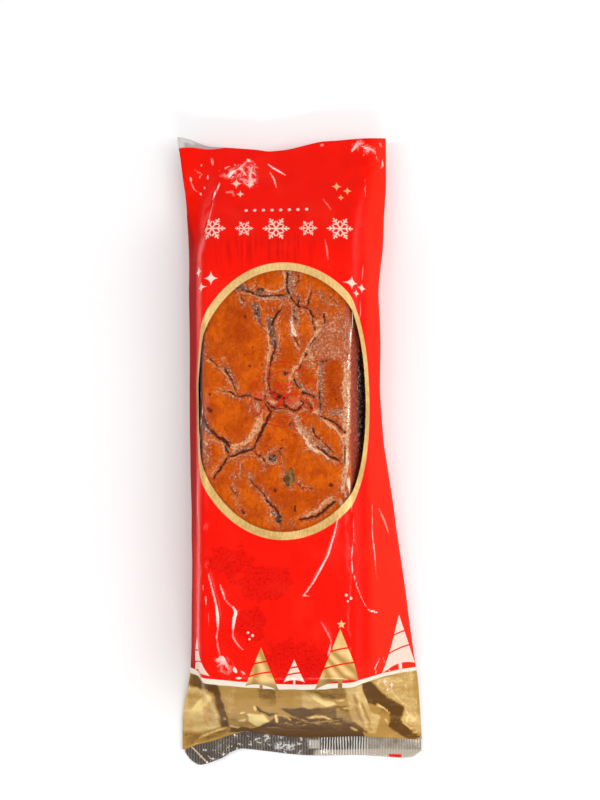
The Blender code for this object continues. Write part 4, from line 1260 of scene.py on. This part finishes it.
def crust_finish():
    """Glazed crust over torn crumb on top, with painted shade in its crevices and painted glare of the
    film over one patch; dark at the sides, with painted glints and a painted red glow reflected from the
    film.
    """
    made, s = new_finish("bread_crust")
    place, _, far_along, height = own_place(s)
    ragged_edge = (noise(s, place, 0.55, 3.0, 0.75) - 0.5) * 2.8
    crevice_at = s.noted("crevice") + ragged_edge * 0.7
    crumb_at = s.noted("crumb") + ragged_edge
    crumb_tone_at = s.noted("crumb_tone")
    glare_at = s.noted("glare")
    glaze_darkening_at = s.noted("glaze_darkening")
    tear_at = crumb_at.highest(crevice_at)
    near_tear = tear_at.span(-3.6, 0.2)
    torn = crumb_at.span(-0.15, 0.25)
    split = crevice_at.span(-0.14, 0.22)
    broad = noise(s, place, 0.07, 3.0, 0.6)
    fine = noise(s, place.scaled(1.0, 0.5, 1.0), 0.45, 3.0, 0.75)
    grain = noise(s, place, 0.80, 2.0, 0.8)

    def speckle(scale, detail, rough, low, high):
        return noise(s, place, scale, detail, rough).span(low, high)

    crumb_colour = layered(CRUMB_FLOURY, (
        (crumb_tone_at.span(0.0, 0.28), CRUMB_ORANGE),
        (crumb_tone_at.span(0.36, 0.66), CRUMB_BROWN),
        (crumb_tone_at.span(0.66, 0.92), CRUMB_GREY),
        # Painted shade in the crumb towards the crevice.
        (crevice_at.span(-1.5, 0.0) * 0.35, CRUMB_SHADED),
        (speckle(0.55, 3.0, 0.8, 0.48, 0.58) * 0.7, CRUMB_PIT),
        (speckle(0.70, 3.0, 0.8, 0.54, 0.62) * 0.7, CRUMB_GRAIN),
    ))
    top_colour = layered(GLAZE, (
        ((broad.span(0.38, 0.62) * 0.75 + glaze_darkening_at * 0.6).lowest(1.0), GLAZE_DEEP),
        (glaze_darkening_at * 0.45, GLAZE_DARKENED),
        (fine.span(0.46, 0.62) * 0.45, GLAZE_DARK_FLECK),
        (grain.span(0.54, 0.68) * 0.35, GLAZE_PALE_FLECK),
        (speckle(0.60, 3.0, 0.8, 0.585, 0.65) * 0.65, PORE),
        (near_tear * speckle(0.35, 4.0, 0.8, 0.46, 0.60) * 0.6, BROWNED),
        (near_tear * speckle(0.62, 3.0, 0.8, 0.52, 0.62) * 0.75, DUSTED),
        (tear_at.span(-7.0, -0.5) * speckle(0.22, 4.0, 0.75, 0.50, 0.62) * 0.35, WORN),
        (s.noted("blush") * 0.75, BLUSH),
        # Painted glare of the film over one patch of crust: duller brown with pale dots.
        (glare_at * speckle(0.45, 4.0, 0.8, 0.36, 0.56) * 0.85, GLARE_BROWN),
        (glare_at * speckle(0.68, 3.0, 0.8, 0.50, 0.62) * 0.6, GLARE_DOT),
        (torn, crumb_colour),
        # Painted shade beside and in the crevices.
        (crevice_at.span(-1.0, 0.1) * 0.3, TEAR_SHADE),
        ((s.noted("scorch") + ragged_edge * 0.8).span(-0.3, 0.4) * 0.9, SCORCHED),
        (split * 0.94, SPLIT_SHADE),
    ))
    ragged_height = height + (noise(s, place, 0.25, 3.0) - 0.5) * 8.0
    ragged_along = far_along + ragged_edge
    at_ends = ragged_along.span(60.0, 72.0).highest(ragged_along.span(-16.0, 2.0, 1.0, 0.0))
    side_colour = layered(SIDE_BLACK, (
        (speckle(0.35, 4.0, 0.7, 0.4, 0.7), SIDE_BROWN),
        # Painted glints in pale specks.
        (speckle(0.5, 2.0, 0.7, 0.56, 0.60) * 0.9, SIDE_GLINT),
        # Painted red glow reflected from the film, at the ends and along the upper side.
        (at_ends * 0.85, SIDE_END_REFLECTED_RED),
        (ragged_height.span(38.0, 46.0), speckle(0.6, 3.0, 0.7, 0.4, 0.65).mix(SIDE_REFLECTED_RED, SIDE_REFLECTED_PINK)),
    ))
    colour = ragged_height.span(50.5, 55.0).mix(side_colour, top_colour)
    relief_at = fine * 0.5 + grain * 0.25 + noise(s, place, 0.4, 2.0) * 0.5
    bump = s.node("Bump", (), {"Strength": 0.5, "Distance": 0.0005, "Height": relief_at})
    gloss = torn.highest(split).span(0.0, 1.0, 0.38, 0.85)
    output(s, s.node("BsdfPrincipled", (), {
        "Base Color": colour, "Roughness": gloss, "Normal": bump, "Specular IOR Level": 0.03}))
    return made


loaf.data.materials.append(crust_finish())
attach(loaf, "root")

# Fruit: raisins and candied peel baked into the crust, showing where it has torn or worn away.
# Each is a wrinkled, flattened pebble, sunk to its middle.
FRUIT = (
    # x, y, half length, half width, turn in degrees, darkness
    (-5.3, -21.8, 7.4, 4.2, 84, 0.25),
    (-16.8, -9.6, 3.3, 2.7, 30, 0.95),
    (-25.5, 104.0, 2.6, 2.1, 15, 0.6),
    (-27.5, 89.7, 2.2, 1.2, 70, 0.7),
    (-17.4, 74.7, 2.6, 1.4, 75, 0.7),
    (-12.7, -50.4, 2.7, 2.3, 60, 0.8),
    (0.0, 98.5, 1.6, 1.1, 40, 0.9),
    (-8.0, 46.8, 1.5, 1.2, 10, 0.9),
    (-4.6, 12.8, 1.5, 1.1, 20, 0.9),
    (-45.7, -7.6, 1.0, 0.8, 0, 0.4),
)
FRUIT_Z = 55.7
FRUIT_THICK = 1.6
PEEL_AMBER = ((0.15, 0.050, 0.006), (0.30, 0.14, 0.035))
RAISIN_BLACK = ((0.020, 0.008, 0.005), (0.24, 0.14, 0.10))
pebbles = []
for number, (x, y, long_half, wide_half, turn, dark) in enumerate(FRUIT):
    bpy.ops.object.select_all(action="DESELECT")
    bpy.ops.mesh.primitive_ico_sphere_add(subdivisions=4, radius=1.0)
    pebble = bpy.context.active_object
    count = len(pebble.data.vertices)
    ball = np.zeros(count * 3)
    pebble.data.vertices.foreach_get("co", ball)
    ball = ball.reshape(-1, 3)
    wrinkle = 1 + 0.09 * patchy(ball[:, 0] * 3, ball[:, 1] * 5 + ball[:, 2] * 2, 1.0, 40 + number)
    ball = ball * wrinkle[:, None] * (long_half, wide_half, min(wide_half, FRUIT_THICK) * 0.8)
    angle = np.radians(turn)
    spun = np.stack((ball[:, 0] * np.cos(angle) - ball[:, 1] * np.sin(angle),
                     ball[:, 0] * np.sin(angle) + ball[:, 1] * np.cos(angle), ball[:, 2]), axis=1)
    pebble.data.vertices.foreach_set("co", ((spun + (x, y, FRUIT_Z)) * MM).ravel())
    note(pebble, "dark", np.full(count, dark))
    pebbles.append(pebble)
bpy.ops.object.select_all(action="DESELECT")
for pebble in pebbles:
    pebble.select_set(True)
bpy.context.view_layer.objects.active = pebbles[0]
bpy.ops.object.join()
fruit = bpy.context.active_object
fruit.name = "baked_in_fruit"
bpy.ops.object.shade_smooth()


def fruit_finish():
    """Amber peel where dark is low and black raisin where it is high, both blotched."""
    made, s = new_finish("fruit")
    place = own_place(s)[0]
    blotch = noise(s, place, 0.45, 3.0, 0.75).span(0.42, 0.60)
    colour = s.noted("dark").mix(blotch.mix(*PEEL_AMBER), blotch.mix(*RAISIN_BLACK))
    bump = s.node("Bump", (), {"Strength": 0.5, "Distance": 0.0004,
                               "Height": noise(s, place, 1.2, 2.0)})
    output(s, s.node("BsdfPrincipled", (), {
        "Base Color": colour, "Roughness": blotch * 0.2 + 0.35, "Normal": bump,
        "Specular IOR Level": 0.08}))
    return made


fruit.data.materials.append(fruit_finish())
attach(fruit, "root")

# End seals: the film's two sides crimped together between ribbed jaws. The open one lies on the
# table at -Y, and the other is turned under the bag at +Y.
SEAL_RIM = ((-80, -212.5), (-75, -219.5), (-69, -222.7), (-63, -221.3), (-52, -217.0),
            (-46, -212.9), (-40, -210.8), (-29, -212.2), (-7, -214.9), (4, -215.6),
            (38, -215.6), (71, -217.2), (80, -216.8), (87, -211.8))
SEAL_X = (-79.0, 86.2)
FOLDED_X = (-82.0, 58.0)
SEAL_DEPTH = 13.6
SEAL_THICK = 0.35
RIB_PITCH = 1.9
RIB_HALF = 0.26
POINTS_A_RIB = 6
SEAL_ROWS = 14
SEAL_BITE = 2.5
SEAL_GREY = (0.105, 0.078, 0.058)
SEAL_SILVER = (0.62, 0.53, 0.42)
RIB_SHADE = (0.025, 0.020, 0.016)
RIB_HIGHLIGHT = (0.95, 0.93, 0.89)
SEAL_GLINT = (0.90, 0.88, 0.84)
SEAL_PLAIN = (0.62, 0.57, 0.50)
SEAL_EDGE = (0.70, 0.55, 0.42)


def crimped_strip(name, x_range, near, far):
    """A ribbed strip across X. near and far give the (Y, Z) of its long edges at each X."""
    columns = int((x_range[1] - x_range[0]) / RIB_PITCH * POINTS_A_RIB)
    bpy.ops.object.select_all(action="DESELECT")
    bpy.ops.mesh.primitive_grid_add(x_subdivisions=columns, y_subdivisions=SEAL_ROWS, size=2.0)
    piece = bpy.context.active_object
    piece.name = name
    flat = np.zeros(len(piece.data.vertices) * 3)
    piece.data.vertices.foreach_get("co", flat)
    flat = flat.reshape(-1, 3)
    x = x_range[0] + (flat[:, 0] + 1) / 2 * (x_range[1] - x_range[0])
    share = (1 - flat[:, 1]) / 2
    near_y, near_z = near(x)
    far_y, far_z = far(x)
    y = near_y + (far_y - near_y) * share
    ribs = RIB_HALF * np.sin(2 * np.pi * x / RIB_PITCH) * (0.7 + 0.5 * patchy(x, y, 14.0, 61))
    z = near_z + (far_z - near_z) * share + ribs + 0.35 * patchy(x, y, 6.0, 62)
    points = np.stack((x, y, np.maximum(z, 0.35)), axis=1)
    piece.data.vertices.foreach_set("co", (points * MM).ravel())
    thicken = piece.modifiers.new("thickness", "SOLIDIFY")
    thicken.thickness = SEAL_THICK * MM
    thicken.offset = 0.0
    bpy.ops.object.modifier_apply(modifier=thicken.name)
    bpy.ops.object.shade_smooth()
    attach(piece, "root")
    return piece


def open_near(x):
    return along(SEAL_LINE, x, 3.0) + SEAL_BITE, 2.6 + 0 * x


def open_far(x):
    return along(SEAL_RIM, x, 1.5), 1.9 + 1.2 * np.sin(2 * np.pi * x / 66)


def folded_near(x):
    return along(FOLD_LINE, x, 3.0) - SEAL_BITE, 15.2 + 0 * x


def folded_far(x):
    return along(FOLD_LINE, x, 3.0) - SEAL_BITE - SEAL_DEPTH, 2.2 + 0 * x


def crimp_finish():
    """Silvery film pressed into ribs, with painted shade and highlight along the ribs, painted glints, a
    plain spot and a sliver of red print.
    """
    made, s = new_finish("crimped_film")
    place, x, y, _ = own_place(s)
    broad = noise(s, place, 0.10, 3.0, 0.6)
    ribs = s.maths("SINE", x * (2 * np.pi / RIB_PITCH) + broad * 6.0)
    lively = x.span(12.0, 18.0) * x.span(44.0, 52.0, 1.0, 0.0)
    lower = (y * -1.0).span(211.0, 212.5) * x.span(8.0, 14.0)
    silver = (x.span(-5.0, 60.0) * 0.60 + (broad - 0.5) * 1.5 + lower * 0.7).span(0.0, 1.0)
    # Painted shade and highlight along the ribs, then painted glints in specks and one patch.
    rib_shade = (ribs * -1.0).span(-0.2, 0.8) * (lively * 0.65 + 0.25) * (1.0 - lower * 0.7)
    rib_highlight = ribs.span(0.2, 0.9) * (lively * 0.8 + 0.12) * broad.span(0.32, 0.52)
    glint_specks = noise(s, place, 0.30, 3.0, 0.7).span(0.59, 0.65) * (x * -1.0).span(-10.0, 0.0)
    glint = inside(abs(x + 9.0) - 7.0, 2.0) * inside(abs(y + 209.5) - 2.5, 1.5)
    glint = glint * noise(s, place, 0.6, 2.0).span(0.42, 0.52)
    plain = inside(abs(x - 11.5) - 4.0, 0.6) * inside(abs(y + 208.0) - 3.0, 0.6)
    edge = inside(abs((x + 73.7) * 0.70 + (y + 210.8) * 0.714) - 0.5)
    colour = layered(SEAL_GREY, (
        (silver, SEAL_SILVER),
        (rib_shade, RIB_SHADE),
        (rib_highlight, RIB_HIGHLIGHT),
        (glint.highest(glint_specks) * 0.8, SEAL_GLINT),
        (plain * 0.8, SEAL_PLAIN),
        (edge * inside(x + 50.0, 4.0), SEAL_EDGE),
        (inside(abs(x - 68.0) - 4.5, 0.8) * inside(y + 214.9, 0.5), FILM_RED),
    ))
    bump = s.node("Bump", (), {"Strength": 0.4, "Distance": 0.0004,
                               "Height": noise(s, place, 0.5, 3.0)})
    output(s, s.node("BsdfPrincipled", (), {
        "Base Color": colour, "Metallic": broad * 0.2 + 0.4, "Roughness": 0.2, "Normal": bump}))
    return made


crimp = crimp_finish()
for strip in (crimped_strip("end_seal", SEAL_X, open_near, open_far),
              crimped_strip("folded_seal", FOLDED_X, folded_near, folded_far)):
    strip.data.materials.append(crimp)

# Studio: a pale table, two soft boxes on the right, one on the left and one at the foot, and the
# camera almost overhead, where the photo was taken from.
TABLE_SIZE = 6.0
TABLE_WHITES = ((0.95, 0.95, 0.95), (0.97, 0.97, 0.97))
SKY_LIGHT = 0.62

bpy.ops.object.select_all(action="DESELECT")
bpy.ops.mesh.primitive_plane_add(size=TABLE_SIZE, location=(0.0, 0.0, 0.0))
table = bpy.context.active_object
table.name = "table"
table_look, s = new_finish("table")
mottle = noise(s, s.node("TexCoord", (), (), 3), 3.0, 2.0).span(0.3, 0.7)
output(s, s.node("BsdfPrincipled", (), {"Base Color": mottle.mix(*TABLE_WHITES), "Roughness": 0.7}))
table.data.materials.append(table_look)

TARGET = Vector(VIEW_TO) * MM
CAMERA_AT = Vector(VIEW_FROM) * MM
SOFT_BOXES = (
    # name, place, width, height, watts
    ("right_low", (1.15, 0.15, 0.85), 0.05, 1.1, 4.5),
    ("right_high", (0.62, -0.15, 1.25), 0.05, 0.9, 3.5),
    ("left", (-0.85, 0.1, 1.10), 0.05, 1.1, 4.0),
    ("front", (0.25, -1.35, 1.05), 0.6, 0.06, 5.0),
)
for name, place, width, height, watts in SOFT_BOXES:
    light = bpy.data.lights.new(name, "AREA")
    light.shape = "RECTANGLE"
    light.size = width
    light.size_y = height
    light.energy = watts
    box = bpy.data.objects.new(name, light)
    bpy.context.scene.collection.objects.link(box)
    box.location = place
    box.rotation_euler = (Vector(place) - TARGET).to_track_quat("Z", "Y").to_euler()

world = bpy.data.worlds.new("studio")
bpy.context.scene.world = world
world.use_nodes = True
world.node_tree.nodes["Background"].inputs["Color"].default_value = (1.0, 1.0, 1.0, 1.0)
world.node_tree.nodes["Background"].inputs["Strength"].default_value = SKY_LIGHT

camera_data = bpy.data.cameras.new("camera")
camera_data.lens = LENS
camera = bpy.data.objects.new("camera", camera_data)
bpy.context.scene.collection.objects.link(camera)
camera.location = CAMERA_AT
camera.rotation_euler = (CAMERA_AT - TARGET).to_track_quat("Z", "Y").to_euler()
bpy.context.scene.camera = camera
bpy.context.scene.view_settings.view_transform = "Standard"
